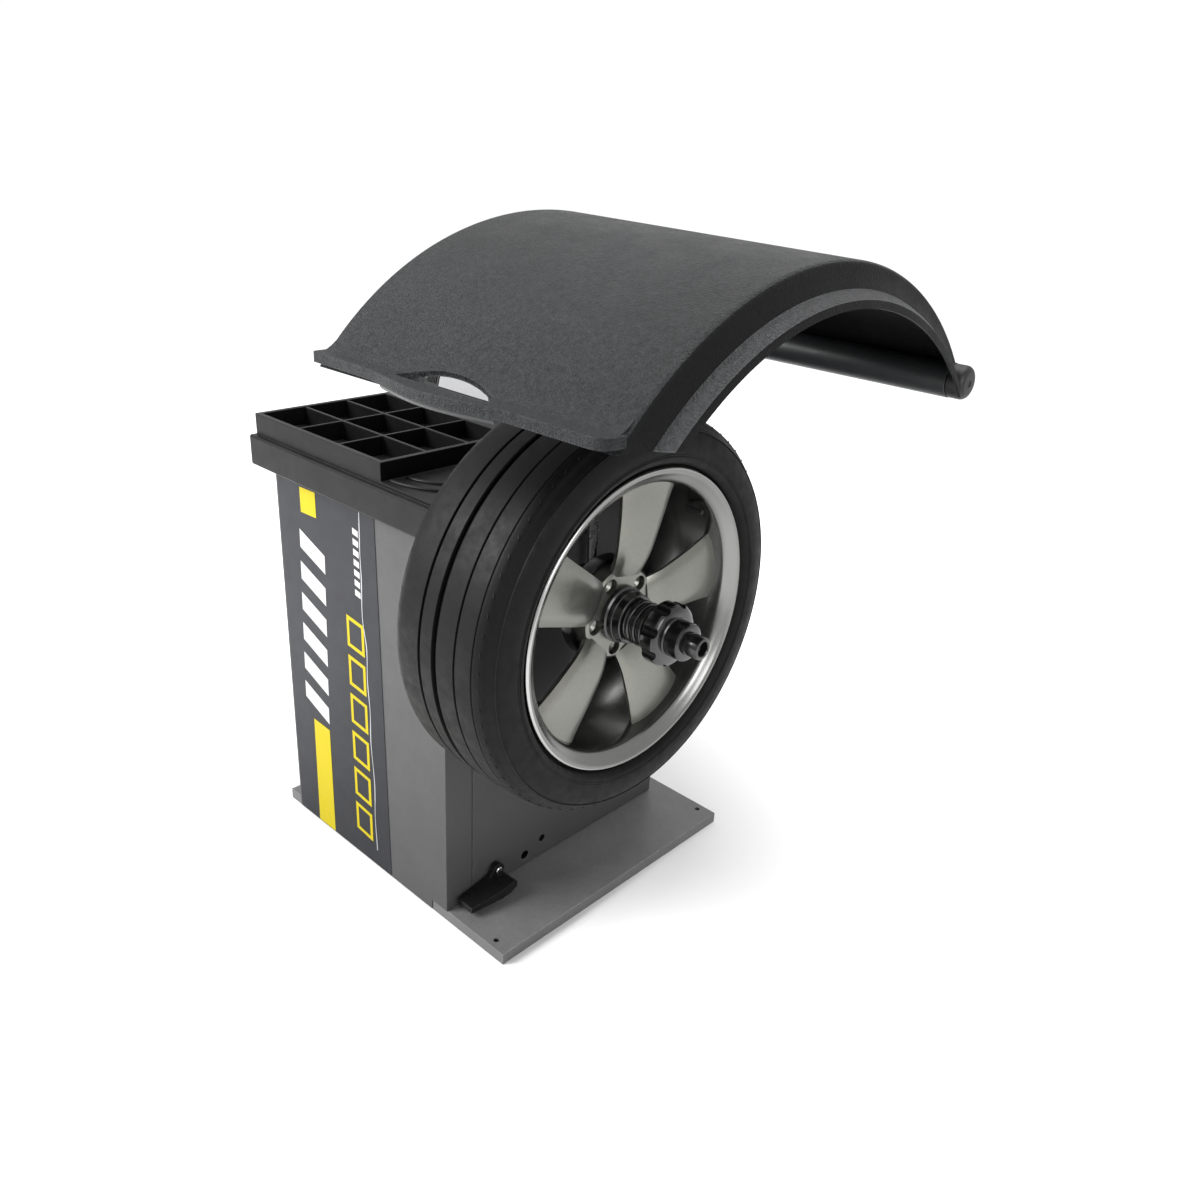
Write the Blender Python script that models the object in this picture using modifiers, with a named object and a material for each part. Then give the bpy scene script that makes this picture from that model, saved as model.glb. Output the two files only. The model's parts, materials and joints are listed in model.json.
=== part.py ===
"""Wheel balancer: a sheet-steel cabinet on a base plate, a spindle with a wheel clamped on it,
a swinging wheel guard, a weight tray, a tilted console, a foot brake and a rim gauge.

Frame: origin under the middle of the base plate, +X along the spindle towards the wheel,
+Y towards the back of the machine, +Z up.  Sizes are in metres.
"""
import bpy
import bmesh
from math import asin, atan2, cos, pi, radians, sin, sqrt
from mathutils import Matrix, Vector

# ---------------------------------------------------------------- fits
GAP = 0.0003            # between faces that touch
RUN = 0.0006            # radial room round a part that turns or slides
OVER = 0.004            # how far a cutter stands out of what it cuts

# ---------------------------------------------------------------- base and cabinet
BASE_W = 0.670
BASE_D = 0.600
BASE_H = 0.022
BASE_SHEET = 0.004
BASE_RIB = 0.050        # middle foot rib of the base plate
ANCHOR_R = 0.0055
ANCHOR_IN_X = 0.035     # anchor hole to the base's side edge
ANCHOR_IN_Y = 0.016     # anchor hole to the base's front edge
CAB_W = 0.482
CAB_D = 0.560
CAB_LEDGE = 0.150       # base plate that shows on the wheel side
CAB_TOP = 0.745
SHEET = 0.002
CORNER_BAND = 0.057     # front sheet folded round the wheel-side corner
APRON_SHORT = 0.043     # the front sheet's apron stops short of that corner
SEAM = 0.0016           # open joint between that fold and the side sheet
SIDE_HOLE_R = 0.0095

WALL = BASE_W / 2 - CAB_LEDGE
CAB_LEFT = WALL - CAB_W
FRONT = -BASE_D / 2
REAR = FRONT + CAB_D
FLOOR_TOP = BASE_H + GAP + SHEET

# ---------------------------------------------------------------- weight tray
TRAY_OVER = 0.031       # overhang in front and on the left
TRAY_RIGHT = 0.020      # overhang on the wheel side
TRAY_LOW = 0.056        # lower tier
TRAY_HIGH = 0.039       # upper tier
TRAY_STEP = 0.010
TRAY_WALL = 0.004
CELL_X = 0.118
CELL_Y = 0.088
CELLS_X = 3
CELLS_Y = 3
CELL_RIM = 0.010
CELL_DEPTH = 0.034
RIB = 0.005

TRAY_Z = CAB_TOP + GAP
TRAY_LEDGE = TRAY_Z + TRAY_LOW
TRAY_TOP = TRAY_LEDGE + TRAY_HIGH
TRAY_LEFT = CAB_LEFT - TRAY_OVER
TRAY_FRONT = FRONT - TRAY_OVER
TRAY_END = WALL + TRAY_RIGHT
TRAY_BACK = REAR - 0.004
CELL_LEFT = TRAY_LEFT + TRAY_STEP + CELL_RIM
CELL_FRONT = TRAY_FRONT + TRAY_STEP + CELL_RIM
CELL_END = CELL_LEFT + CELLS_X * CELL_X
CELL_BACK = CELL_FRONT + CELLS_Y * CELL_Y
CELL_FLOOR = TRAY_TOP - CELL_DEPTH
SHELF_TOP = TRAY_LEDGE + 0.007

# ---------------------------------------------------------------- spindle
AXIS_Y = -0.121
AXIS_Z = CAB_TOP - 0.102
SHAFT_R = 0.018
FLANGE_OUT = 0.187      # wheel mounting face to the cabinet wall
SHAFT_OUT = 0.190       # shaft tip to the mounting face
FLANGE_R = 0.085
FLANGE_T = 0.022
FLANGE_RECESS_R = 0.046
FLANGE_HUB_R = 0.054
SHAFT_TAIL = -0.165
BEARING_R = 0.030
BEARING_L = 0.020
HOUSING_R = 0.042
HOUSING_BACK = -0.065
HOUSING_NOSE = 0.020    # housing past the cabinet wall
FACE_X = WALL + FLANGE_OUT
SHAFT_TIP = FACE_X + SHAFT_OUT
NOSE_X = WALL + HOUSING_NOSE

# ---------------------------------------------------------------- drive
PULLEY_X = -0.110
PULLEY_L = 0.030
PULLEY_R = 0.090
MOTOR_PULLEY_R = 0.020
MOTOR_R = 0.055
MOTOR_L = 0.150
MOTOR_DROP = 0.243      # motor axis below the spindle
MOTOR_STUB_R = 0.007
BELT_T = 0.004
BELT_W = 0.020
FRAME_X = 0.120
FRAME_T = 0.008
MOTOR_Z = AXIS_Z - MOTOR_DROP
MOTOR_X = PULLEY_X + PULLEY_L / 2 + 0.010

# ---------------------------------------------------------------- wheel
RIM_FLANGE_R = 0.246
RIM_SEAT_R = 0.2286
RIM_WELL_R = 0.206
RIM_W = 0.214
RIM_WALL = 0.007
RIM_BACK = 0.139        # inner rim flange to the mounting face
HUB_PAD_R = 0.078
HUB_PAD_T = 0.025
HUB_BORE_R = 0.0355
LUG_CIRCLE_R = 0.057
LUG_R = 0.013
SPOKES = 5
SPOKE_T = 0.018
TYRE_R = 0.3234
TREAD_W = 0.187
TYRE_BULGE = 0.006      # sidewall past the rim's edge
TYRE_WALL = 0.008
TREAD_T = 0.016
GROOVE = 0.006

RIM_X0 = FACE_X - RIM_BACK
RIM_X1 = RIM_X0 + RIM_W
WHEEL_MID = (RIM_X0 + RIM_X1) / 2

# ---------------------------------------------------------------- clamping parts
CONE_BIG_R = 0.0435
CONE_SMALL_R = 0.029
CONE_BACK = 0.027       # cone behind the mounting face
CONE_FRONT = 0.019
SPRING_WIRE = 0.0018
SPRING_R = 0.026
CUP_R = 0.046
CUP_NECK_R = 0.040
CUP_L = 0.033
CUP_HOLLOW = 0.012
NUT_SLEEVE_R = 0.036
NUT_SLEEVE_L = 0.048
NUT_R = 0.050
NUT_L = 0.029
NUT_NOSE_R = 0.030
NUT_NOSE_L = 0.028
NUT_LUGS = 6
CUP_X = FACE_X + HUB_PAD_T + GAP
NUT_X = CUP_X + CUP_L + GAP

# ---------------------------------------------------------------- wheel guard
HOOD_R = 0.4995         # outside of the curved skin
HOOD_Y = -0.119         # centre of the curve
HOOD_Z = AXIS_Z + 0.0645
HOOD_WALL = 0.0035
HOOD_FULL = 0.0145      # the curve is this much fuller at its cabinet end
HOOD_LEFT = WALL + 0.008
HOOD_W = 0.508
HOOD_BAND = 0.0335      # side wall, outer skin to the flared edge
HOOD_DRAFT = 0.009
HOOD_FLARE_X = 0.018
HOOD_FLARE_R = 0.008
HOOD_HEM = 0.011
HOOD_RETURN = 0.020     # turned-in edge on the cabinet side
HOOD_CORNER = 0.008
HOOD_FOOT = 0.3295      # level front end of the curve, above its centre
LIP_OUT = 0.034
LIP_T = 0.013
LIP_RISE = 0.0065       # lip's underside above the curve's front end
LIP_CORNER = 0.022
GRIP_OUT = 0.020
GRIP_MID = 0.2455       # middle of the hand hole from the guard's left edge
HAND_W = 0.167
HAND_D = 0.034
TUBE_Y = 0.236
TUBE_Z = HOOD_Z + 0.315
SLEEVE_R = 0.0258
TUBE_R = 0.021
TUBE_WALL = 0.003
CAP_R = 0.025
CAP_L = 0.026
POST_W = 0.030
POST_TOP = 0.014        # post above the tube
POST_T = 0.030
POST_FOOT = 0.395
HOOD_RIGHT = HOOD_LEFT + HOOD_W
FLARE_X = HOOD_RIGHT + HOOD_DRAFT + HOOD_FLARE_X
HOOD_LEVEL = HOOD_Z + HOOD_FOOT

# ---------------------------------------------------------------- console
CON_LEFT = -0.300
CON_W = 0.420
CON_FRONT = 0.040
CON_D = 0.110
CON_H = 0.225
CON_TILT = radians(15)
CON_CHEEK = 0.040       # ribbed end cheek beside the face plate
FACE_T = 0.003
KEY_R = 0.011
KEY_COLUMNS = 4
KEY_PITCH = 0.036
WINDOW_W = 0.110
WINDOW_H = 0.062

# ---------------------------------------------------------------- foot brake
PEDAL_W = 0.050
PEDAL_FRONT = -0.280
PEDAL_BACK = -0.180
PEDAL_LIFT = 0.010      # pad above the base plate
PEDAL_HUB_W = 0.009
PEDAL_HUB_R = 0.014
PIVOT_Y = -0.190
PIVOT_Z = 0.062
PIN_R = 0.005
CRANK_L = 0.045
CABLE_R = 0.003
DISC_X = -0.150
DISC_T = 0.004
DISC_R = 0.072

# ---------------------------------------------------------------- rim gauge
GAUGE_Y = AXIS_Y + 0.130
GAUGE_Z = AXIS_Z + 0.060
GAUGE_R = 0.008
GAUGE_ARM = 0.110
GAUGE_IN = 0.165        # rod behind the wall's outer face
GAUGE_OUT = 0.028       # arm's outer face past the wall
RAIL_R = 0.005
RAIL_OFF = 0.038

# ---------------------------------------------------------------- mains entry
MAINS_X = -0.210
MAINS_W = 0.050
MAINS_Z = 0.090
MAINS_H = 0.085
MAINS_T = 0.024

SEGMENTS = 32
WHEEL_SEGMENTS = 36     # one count for rim and tyre, so their facets line up

PARTS = None
CUTTERS = None


# ---------------------------------------------------------------- scene and materials
def clear_scene():
    for obj in list(bpy.data.objects):
        bpy.data.objects.remove(obj, do_unlink=True)


def new_collection(name):
    collection = bpy.data.collections.new(name)
    bpy.context.scene.collection.children.link(collection)
    return collection


def material(name, colour, roughness, metallic=0.0):
    mat = bpy.data.materials.get(name)
    if mat is None:
        mat = bpy.data.materials.new(name)
        mat.use_nodes = True
        shader = mat.node_tree.nodes["Principled BSDF"]
        shader.inputs["Base Color"].default_value = (*colour, 1.0)
        shader.inputs["Roughness"].default_value = roughness
        shader.inputs["Metallic"].default_value = metallic
    return mat


def steel_paint():
    return material("grey_paint", (0.17, 0.17, 0.17), 0.45)


def black_paint():
    return material("black_paint", (0.02, 0.02, 0.022), 0.4)


def black_plastic():
    return material("black_plastic", (0.014, 0.014, 0.015), 0.5)


def guard_plastic():
    return material("guard_plastic", (0.055, 0.058, 0.062), 0.6)


def panel_plastic():
    return material("panel_plastic", (0.42, 0.42, 0.43), 0.5)


def bare_steel():
    return material("bare_steel", (0.45, 0.45, 0.46), 0.3, 1.0)


def black_steel():
    return material("black_steel", (0.02, 0.02, 0.021), 0.25, 0.8)


def chrome():
    return material("chrome", (0.8, 0.8, 0.8), 0.08, 1.0)


def rubber():
    return material("rubber", (0.015, 0.015, 0.016), 0.7)


# ---------------------------------------------------------------- building blocks
def place(obj, mat=None, parent=None):
    """Link a piece to its collection and hang it on its parent; no material means a cutter."""
    if mat is None:
        CUTTERS.objects.link(obj)
        obj.hide_render = True
        obj.display_type = 'WIRE'
    else:
        PARTS.objects.link(obj)
        obj.data.materials.append(mat)
    if parent is not None:
        obj.parent = parent
        obj.matrix_parent_inverse = Matrix.Translation(-parent.location)
    return obj


def pivot(name, x, y, z):
    """An empty on a joint's axis."""
    empty = bpy.data.objects.new(name, None)
    empty.empty_display_size = 0.05
    empty.location = (x, y, z)
    PARTS.objects.link(empty)
    return empty


def mesh_object(name, bm):
    mesh = bpy.data.meshes.new(name)
    bm.to_mesh(mesh)
    bm.free()
    return bpy.data.objects.new(name, mesh)


def box(name, low, high, mat=None, parent=None, bevel=0.0, turn=None):
    """A block from its low corner to its high corner; turn is (pivot point, angle about X)."""
    size = [b - a for a, b in zip(low, high)]
    middle = Vector([(a + b) / 2 for a, b in zip(low, high)])
    bm = bmesh.new()
    bmesh.ops.create_cube(bm, size=1.0, matrix=Matrix.Diagonal((*size, 1.0)))
    obj = mesh_object(name, bm)
    obj.location = middle
    if turn is not None:
        point, angle = turn
        swing = Matrix.Rotation(angle, 4, 'X')
        obj.location = Vector(point) + swing @ (middle - Vector(point))
        obj.rotation_euler = (angle, 0.0, 0.0)
    if bevel:
        add_bevel(obj, bevel)
    return place(obj, mat, parent)


def add_bevel(obj, width, segments=2):
    mod = obj.modifiers.new("edges", 'BEVEL')
    mod.width = width
    mod.segments = segments
    mod.limit_method = 'ANGLE'
    mod.angle_limit = radians(40)
    return mod


def spin_object(name, profile, closed, segments, angle=2 * pi):
    """A Screw about local Z of (along, radius) points, which lie at (radius, 0, along)."""
    points = [(r, a) for a, r in profile]
    if closed:
        area = sum(p[0] * q[1] - q[0] * p[1] for p, q in zip(points, points[1:] + points[:1]))
        if area > 0:
            points.reverse()
    else:
        points.reverse()
    bm = bmesh.new()
    verts = [bm.verts.new((r, 0.0, a)) for r, a in points]
    for p, q in zip(verts, verts[1:]):
        bm.edges.new((p, q))
    if closed:
        bm.edges.new((verts[-1], verts[0]))
    obj = mesh_object(name, bm)
    screw = obj.modifiers.new("turn", 'SCREW')
    screw.axis = 'Z'
    screw.angle = angle
    screw.steps = segments
    screw.render_steps = segments
    screw.use_merge_vertices = angle > 6.28
    screw.merge_threshold = 0.00001
    screw.use_smooth_shade = True
    return obj


def turned(name, profile, mat=None, parent=None, y=AXIS_Y, z=AXIS_Z, closed=False, segments=SEGMENTS):
    """A piece turned about an axis along X; profile is (x, radius) points."""
    obj = spin_object(name, profile, closed, segments)
    obj.location = (0.0, y, z)
    obj.rotation_euler = (0.0, pi / 2, 0.0)
    return place(obj, mat, parent)


def ring(name, x0, x1, inner, outer, mat=None, parent=None, y=AXIS_Y, z=AXIS_Z, segments=SEGMENTS):
    profile = [(x0, outer), (x1, outer), (x1, inner), (x0, inner)]
    return turned(name, profile, mat, parent, y, z, True, segments)


def rod(name, x0, x1, radius, mat=None, parent=None, y=AXIS_Y, z=AXIS_Z, segments=20):
    profile = [(x0, 0.0), (x0, radius), (x1, radius), (x1, 0.0)]
    return turned(name, profile, mat, parent, y, z, False, segments)


def upright(name, x, y, z0, z1, radius, mat=None, parent=None, segments=20):
    """A round bar standing along Z."""
    obj = spin_object(name, [(z0, 0.0), (z0, radius), (z1, radius), (z1, 0.0)], False, segments)
    obj.location = (x, y, 0.0)
    return place(obj, mat, parent)


def plate(name, outline, low, high, normal='X', mat=None, parent=None):
    """A flat outline raised between low and high along X or Z, as a filled 2D curve made a mesh."""
    curve = bpy.data.curves.new(name, 'CURVE')
    curve.dimensions = '2D'
    curve.fill_mode = 'BOTH'
    curve.extrude = (high - low) / 2
    spline = curve.splines.new('POLY')
    spline.points.add(len(outline) - 1)
    for point, (u, v) in zip(spline.points, outline):
        point.co = (u, v, 0.0, 1.0)
    spline.use_cyclic_u = True
    shape = bpy.data.objects.new(name + "_outline", curve)
    bpy.context.scene.collection.objects.link(shape)
    bpy.context.view_layer.update()
    evaluated = shape.evaluated_get(bpy.context.evaluated_depsgraph_get())
    mesh = bpy.data.meshes.new_from_object(evaluated)
    mesh.name = name
    bpy.data.objects.remove(shape, do_unlink=True)
    mesh.materials.clear()
    bm = bmesh.new()
    bm.from_mesh(mesh)
    bmesh.ops.remove_doubles(bm, verts=bm.verts, dist=0.00001)
    bmesh.ops.recalc_face_normals(bm, faces=bm.faces)
    bm.to_mesh(mesh)
    bm.free()
    obj = bpy.data.objects.new(name, mesh)
    if normal == 'X':
        obj.matrix_world = Matrix(((0, 0, 1, (low + high) / 2), (1, 0, 0, 0), (0, 1, 0, 0), (0, 0, 0, 1)))
    else:
        obj.location = (0.0, 0.0, (low + high) / 2)
    return place(obj, mat, parent)


def arc(cu, cv, radius, start, end, count=8):
    """Points round a centre, angles in degrees."""
    steps = [radians(start + (end - start) * i / count) for i in range(count + 1)]
    return [(cu + radius * cos(a), cv + radius * sin(a)) for a in steps]


def wire(name, points, radius, mat, parent=None, resolution=2):
    """A bent round wire or coil, capped at both ends."""
    curve = bpy.data.curves.new(name, 'CURVE')
    curve.dimensions = '3D'
    curve.bevel_depth = radius
    curve.bevel_resolution = resolution
    curve.use_fill_caps = True
    spline = curve.splines.new('POLY')
    spline.points.add(len(points) - 1)
    for point, co in zip(spline.points, points):
        point.co = (*co, 1.0)
    obj = bpy.data.objects.new(name, curve)
    return place(obj, mat, parent)


def combine(obj, others, operation):
    for other in others:
        mod = obj.modifiers.new(other.name, 'BOOLEAN')
        mod.operation = operation
        mod.solver = 'EXACT'
        mod.object = other
    return obj


def cut(obj, *cutters):
    return combine(obj, cutters, 'DIFFERENCE')


def join(obj, *others):
    return combine(obj, others, 'UNION')


# ---------------------------------------------------------------- base and cabinet
def make_base():
    half = BASE_W / 2
    base = box("base_plate", (-half, FRONT, 0.0), (half, -FRONT, BASE_H), steel_paint())
    for side in (-1, 1):
        x0, x1 = sorted((side * BASE_RIB / 2, side * (half - BASE_SHEET)))
        pocket = box(f"base_pocket_{x0:.2f}", (x0, FRONT + BASE_SHEET, -OVER),
                     (x1, -FRONT - BASE_SHEET, BASE_H - BASE_SHEET))
        cut(base, pocket)
        for end in (-1, 1):
            hole = upright(f"anchor_hole_{side}_{end}", side * (half - ANCHOR_IN_X),
                           end * (BASE_D / 2 - ANCHOR_IN_Y), -OVER, BASE_H + OVER, ANCHOR_R, segments=16)
            cut(base, hole)


def make_cabinet_body():
    """Left wall, floor and wheel-side wall in one folded sheet, with a service opening."""
    inner = WALL - 2 * SHEET - GAP
    floor = BASE_H + GAP
    y0, y1 = FRONT + SHEET + GAP, REAR - SHEET - GAP
    body = box("cabinet_body", (CAB_LEFT, y0, floor), (inner + SHEET, y1, CAB_TOP), steel_paint())
    cut(body, box("cabinet_room", (CAB_LEFT + SHEET, y0 - OVER, floor + SHEET),
                  (inner, y1 + OVER, CAB_TOP + OVER)))
    cut(body, box("service_opening", (inner - OVER, FRONT + CORNER_BAND + 0.02, 0.036),
                  (inner + SHEET + OVER, REAR - 0.06, CAB_TOP - 0.02)))


def make_front_panel():
    """Front sheet with a fold round each corner and an apron over the base's front edge."""
    y0 = FRONT - SHEET
    base_front = FRONT - GAP
    panel = box("front_panel", (CAB_LEFT, y0, BASE_H + GAP), (WALL, base_front, CAB_TOP), steel_paint())
    fold = box("corner_fold", (WALL - SHEET, y0, BASE_H + GAP), (WALL, FRONT + CORNER_BAND, CAB_TOP))
    apron = box("front_apron", (CAB_LEFT, y0, 0.002), (WALL - APRON_SHORT, base_front, BASE_H + 2 * SHEET))
    join(panel, fold, apron)


def make_front_decal():
    """Vinyl sheet on the front panel, from near its left edge to a slanted right edge."""
    y1 = FRONT - SHEET - GAP
    low, high = 0.005, CAB_TOP - 0.004
    outline = [(CAB_LEFT + 0.006, low), (0.019, low), (0.006, high), (CAB_LEFT + 0.006, high)]
    vinyl = material("vinyl", (0.045, 0.046, 0.052), 0.4)
    decal = plate("front_decal", outline, -0.0003, 0.0003, 'Z', vinyl)
    decal.rotation_euler = (pi / 2, 0.0, 0.0)
    decal.location = (0.0, y1 - 0.0003, 0.0)


def make_side_panel():
    """Removable panel on the wheel side, round the bearing housing."""
    panel = box("side_panel", (WALL - SHEET, FRONT + CORNER_BAND + SEAM, BASE_H + 0.002),
                (WALL, REAR, CAB_TOP), steel_paint())
    x0, x1 = WALL - SHEET - OVER, WALL + OVER
    cut(panel, rod("housing_hole", x0, x1, HOUSING_R + 0.002))
    cut(panel, rod("gauge_hole", x0, x1, GAUGE_R + 0.010, y=GAUGE_Y, z=GAUGE_Z))
    cut(panel, rod("side_hole_1", x0, x1, SIDE_HOLE_R, y=-0.110, z=0.046, segments=12))
    cut(panel, rod("side_hole_2", x0, x1, SIDE_HOLE_R * 0.8, y=-0.065, z=0.063, segments=12))
    cut(panel, rod("pedal_pin_hole", x0, x1, PIN_R + 0.002, y=PIVOT_Y, z=PIVOT_Z, segments=16))


def make_rear_cover():
    cover = box("rear_cover", (CAB_LEFT, REAR - SHEET, BASE_H + 0.002), (WALL - SHEET - GAP, REAR, CAB_TOP),
                steel_paint())
    for i in range(6):
        z = 0.18 + 0.022 * i
        slot = box(f"rear_vent_{i}", (-0.16, REAR - SHEET - OVER, z), (0.05, REAR + OVER, z + 0.008))
        cut(cover, slot)


# ---------------------------------------------------------------- frame, spindle and drive
def make_support_frame():
    """Upright plate that carries the bearing housing, with a foot on the cabinet floor."""
    y0, y1 = AXIS_Y - 0.115, AXIS_Y + 0.100
    frame = box("support_frame", (FRAME_X, y0, FLOOR_TOP + GAP), (FRAME_X + FRAME_T, y1, CAB_TOP - 0.010),
                black_paint())
    foot = box("frame_foot", (FRAME_X - 0.09, y0, FLOOR_TOP + GAP),
               (FRAME_X + FRAME_T / 2, y1, FLOOR_TOP + FRAME_T))
    join(frame, foot)
    cut(frame, rod("frame_hole", FRAME_X - OVER, FRAME_X + FRAME_T + OVER, HOUSING_R + GAP,
                   segments=SEGMENTS))


def make_bearing_housing():
    flange0 = FRAME_X + FRAME_T + GAP
    flange1 = flange0 + 0.010
    bore = BEARING_R + GAP
    waist = BEARING_R - 0.005
    rear1 = HOUSING_BACK + BEARING_L + 0.002
    front0 = NOSE_X - BEARING_L - 0.002
    profile = [(HOUSING_BACK, HOUSING_R), (flange0, HOUSING_R), (flange0, HOUSING_R + 0.022),
               (flange1, HOUSING_R + 0.022), (flange1, HOUSING_R), (NOSE_X, HOUSING_R), (NOSE_X, bore),
               (front0, bore), (front0, waist), (rear1, waist), (rear1, bore), (HOUSING_BACK, bore)]
    turned("bearing_housing", profile, black_paint(), closed=True)
    for name, x in (("rear_bearing", HOUSING_BACK + 0.001), ("front_bearing", front0 + GAP)):
        ring(name, x, x + BEARING_L, SHAFT_R + RUN, BEARING_R, bare_steel())


def make_spindle(axis):
    seat = SHAFT_R - 0.003
    tail = PULLEY_X + PULLEY_L / 2 + GAP
    profile = [(SHAFT_TAIL, 0.0), (SHAFT_TAIL, seat), (tail, seat), (tail, SHAFT_R),
               (SHAFT_TIP - 0.003, SHAFT_R), (SHAFT_TIP, SHAFT_R - 0.003), (SHAFT_TIP, 0.0)]
    turned("spindle_shaft", profile, black_steel(), axis, segments=32)
    back = NOSE_X + 0.006
    bore = SHAFT_R + GAP
    step = FACE_X - FLANGE_T - 0.045
    recess = step + 0.010
    profile = [(back, FLANGE_HUB_R - 0.018), (step, FLANGE_HUB_R - 0.018), (step, FLANGE_HUB_R),
               (FACE_X - FLANGE_T, FLANGE_HUB_R), (FACE_X - FLANGE_T, FLANGE_R), (FACE_X - GAP, FLANGE_R),
               (FACE_X - GAP, FLANGE_RECESS_R), (recess, FLANGE_RECESS_R), (recess, bore), (back, bore)]
    turned("spindle_flange", profile, black_steel(), axis, closed=True)
    x0, x1 = PULLEY_X - PULLEY_L / 2, PULLEY_X + PULLEY_L / 2
    web0, web1 = PULLEY_X - 0.004, PULLEY_X + 0.004
    inner = PULLEY_R - 0.008
    profile = [(x0, PULLEY_R), (x1, PULLEY_R), (x1, inner), (web1, inner), (web1, 0.025), (x1, 0.025),
               (x1, seat + GAP), (x0, seat + GAP), (x0, 0.025), (web0, 0.025), (web0, inner), (x0, inner)]
    turned("drive_pulley", profile, bare_steel(), axis, closed=True)
    disc = HOUSING_BACK - 0.012
    ring("encoder_disc", disc, disc + 0.0015, SHAFT_R + GAP, 0.052, bare_steel(), axis)
    ring("brake_disc", DISC_X, DISC_X + DISC_T, seat + GAP, DISC_R, bare_steel(), axis)


def make_motor(axis):
    x1 = MOTOR_X + MOTOR_L
    shell = [(MOTOR_X, 0.0), (MOTOR_X, MOTOR_R - 0.008), (MOTOR_X + 0.008, MOTOR_R), (x1 - 0.008, MOTOR_R),
             (x1, MOTOR_R - 0.008), (x1, 0.0)]
    body = turned("motor_body", shell, black_paint(), z=MOTOR_Z)
    cut(body, rod("motor_bore", MOTOR_X - OVER, MOTOR_X + 0.025, MOTOR_STUB_R + RUN, z=MOTOR_Z))
    half = PULLEY_L / 2
    profile = [(PULLEY_X - half, 0.0), (PULLEY_X - half, MOTOR_PULLEY_R), (PULLEY_X + half, MOTOR_PULLEY_R),
               (PULLEY_X + half, MOTOR_STUB_R), (MOTOR_X + 0.022, MOTOR_STUB_R), (MOTOR_X + 0.022, 0.0)]
    turned("motor_pulley", profile, bare_steel(), axis, z=MOTOR_Z, segments=24)
    shelf = MOTOR_Z - MOTOR_R - GAP
    box("motor_bracket", (MOTOR_X + 0.010, AXIS_Y - 0.050, shelf - 0.006),
        (FRAME_X - GAP, AXIS_Y + 0.050, shelf), black_paint())


def belt_outline(offset):
    """Round two pulleys, one above the other, as (y, z) points."""
    big, small = PULLEY_R + offset, MOTOR_PULLEY_R + offset
    lean = asin((PULLEY_R - MOTOR_PULLEY_R) / MOTOR_DROP) * 180 / pi
    return (arc(AXIS_Y, AXIS_Z, big, -lean, 180 + lean, 24)
            + arc(AXIS_Y, MOTOR_Z, small, 180 + lean, 360 - lean, 10))


def make_belt():
    x0 = PULLEY_X - BELT_W / 2
    belt = plate("drive_belt", belt_outline(BELT_T), x0, x0 + BELT_W, 'X', rubber())
    inside = plate("belt_inside", belt_outline(0.001), x0 - OVER, x0 + BELT_W + OVER, 'X')
    cut(belt, inside)


# ---------------------------------------------------------------- wheel
def rim_outline():
    """Barrel cross-section from the inner flange to the outer one and back, as (x, radius)."""
    x0, x1 = RIM_X0, RIM_X1
    inner = RIM_SEAT_R - RIM_WALL
    well = RIM_WELL_R - RIM_WALL
    return [(x0, RIM_FLANGE_R - 0.003), (x0 + 0.003, RIM_FLANGE_R), (x0 + 0.008, RIM_FLANGE_R - 0.003),
            (x0 + 0.009, RIM_SEAT_R), (x0 + 0.045, RIM_SEAT_R - 0.001), (x0 + 0.060, RIM_WELL_R),
            (x0 + 0.105, RIM_WELL_R), (x0 + 0.130, RIM_SEAT_R - 0.010), (x1 - 0.045, RIM_SEAT_R - 0.001),
            (x1 - 0.009, RIM_SEAT_R), (x1 - 0.008, RIM_FLANGE_R - 0.003), (x1 - 0.003, RIM_FLANGE_R),
            (x1, RIM_FLANGE_R - 0.003), (x1 - 0.002, RIM_FLANGE_R - 0.010), (x1 - 0.014, inner - 0.001),
            (x1 - 0.040, inner - 0.006), (x0 + 0.133, inner - 0.014), (x0 + 0.108, well), (x0 + 0.057, well),
            (x0 + 0.042, inner - 0.001), (x0 + 0.006, inner)]


def spoke_outline(angle):
    """One spoke seen along the axle, narrow at the hub and wide at the barrel."""
    root, tip = HUB_PAD_R - 0.012, RIM_SEAT_R - RIM_WALL - 0.008
    widths = ((root, 0.032), (0.090, 0.034), (0.160, 0.043), (tip, 0.057))
    left = [(r, w) for r, w in widths]
    right = [(r, -w) for r, w in reversed(widths)]
    c, s = cos(angle), sin(angle)
    return [(AXIS_Y + r * c - w * s, AXIS_Z + r * s + w * c) for r, w in left + right]


def make_wheel(axis):
    rim = turned("wheel_rim", rim_outline(), chrome(), axis, closed=True, segments=WHEEL_SEGMENTS)
    face = FACE_X + HUB_PAD_T
    hub = ring("rim_hub", FACE_X, face, HUB_BORE_R, HUB_PAD_R)
    for i in range(SPOKES):
        angle = 2 * pi * i / SPOKES + radians(8)
        join(rim, plate(f"rim_spoke_{i}", spoke_outline(angle), face - 0.004, face - 0.004 + SPOKE_T, 'X'))
    join(rim, hub)
    for i in range(SPOKES):
        angle = 2 * pi * (i + 0.5) / SPOKES + radians(8)
        y, z = AXIS_Y + LUG_CIRCLE_R * cos(angle), AXIS_Z + LUG_CIRCLE_R * sin(angle)
        cut(rim, rod(f"lug_hole_{i}", FACE_X - OVER, face + SPOKE_T, LUG_R, y=y, z=z, segments=16))
    cut(rim, rod("rim_bore", FACE_X - OVER, face + SPOKE_T, HUB_BORE_R + GAP, segments=32))


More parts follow.
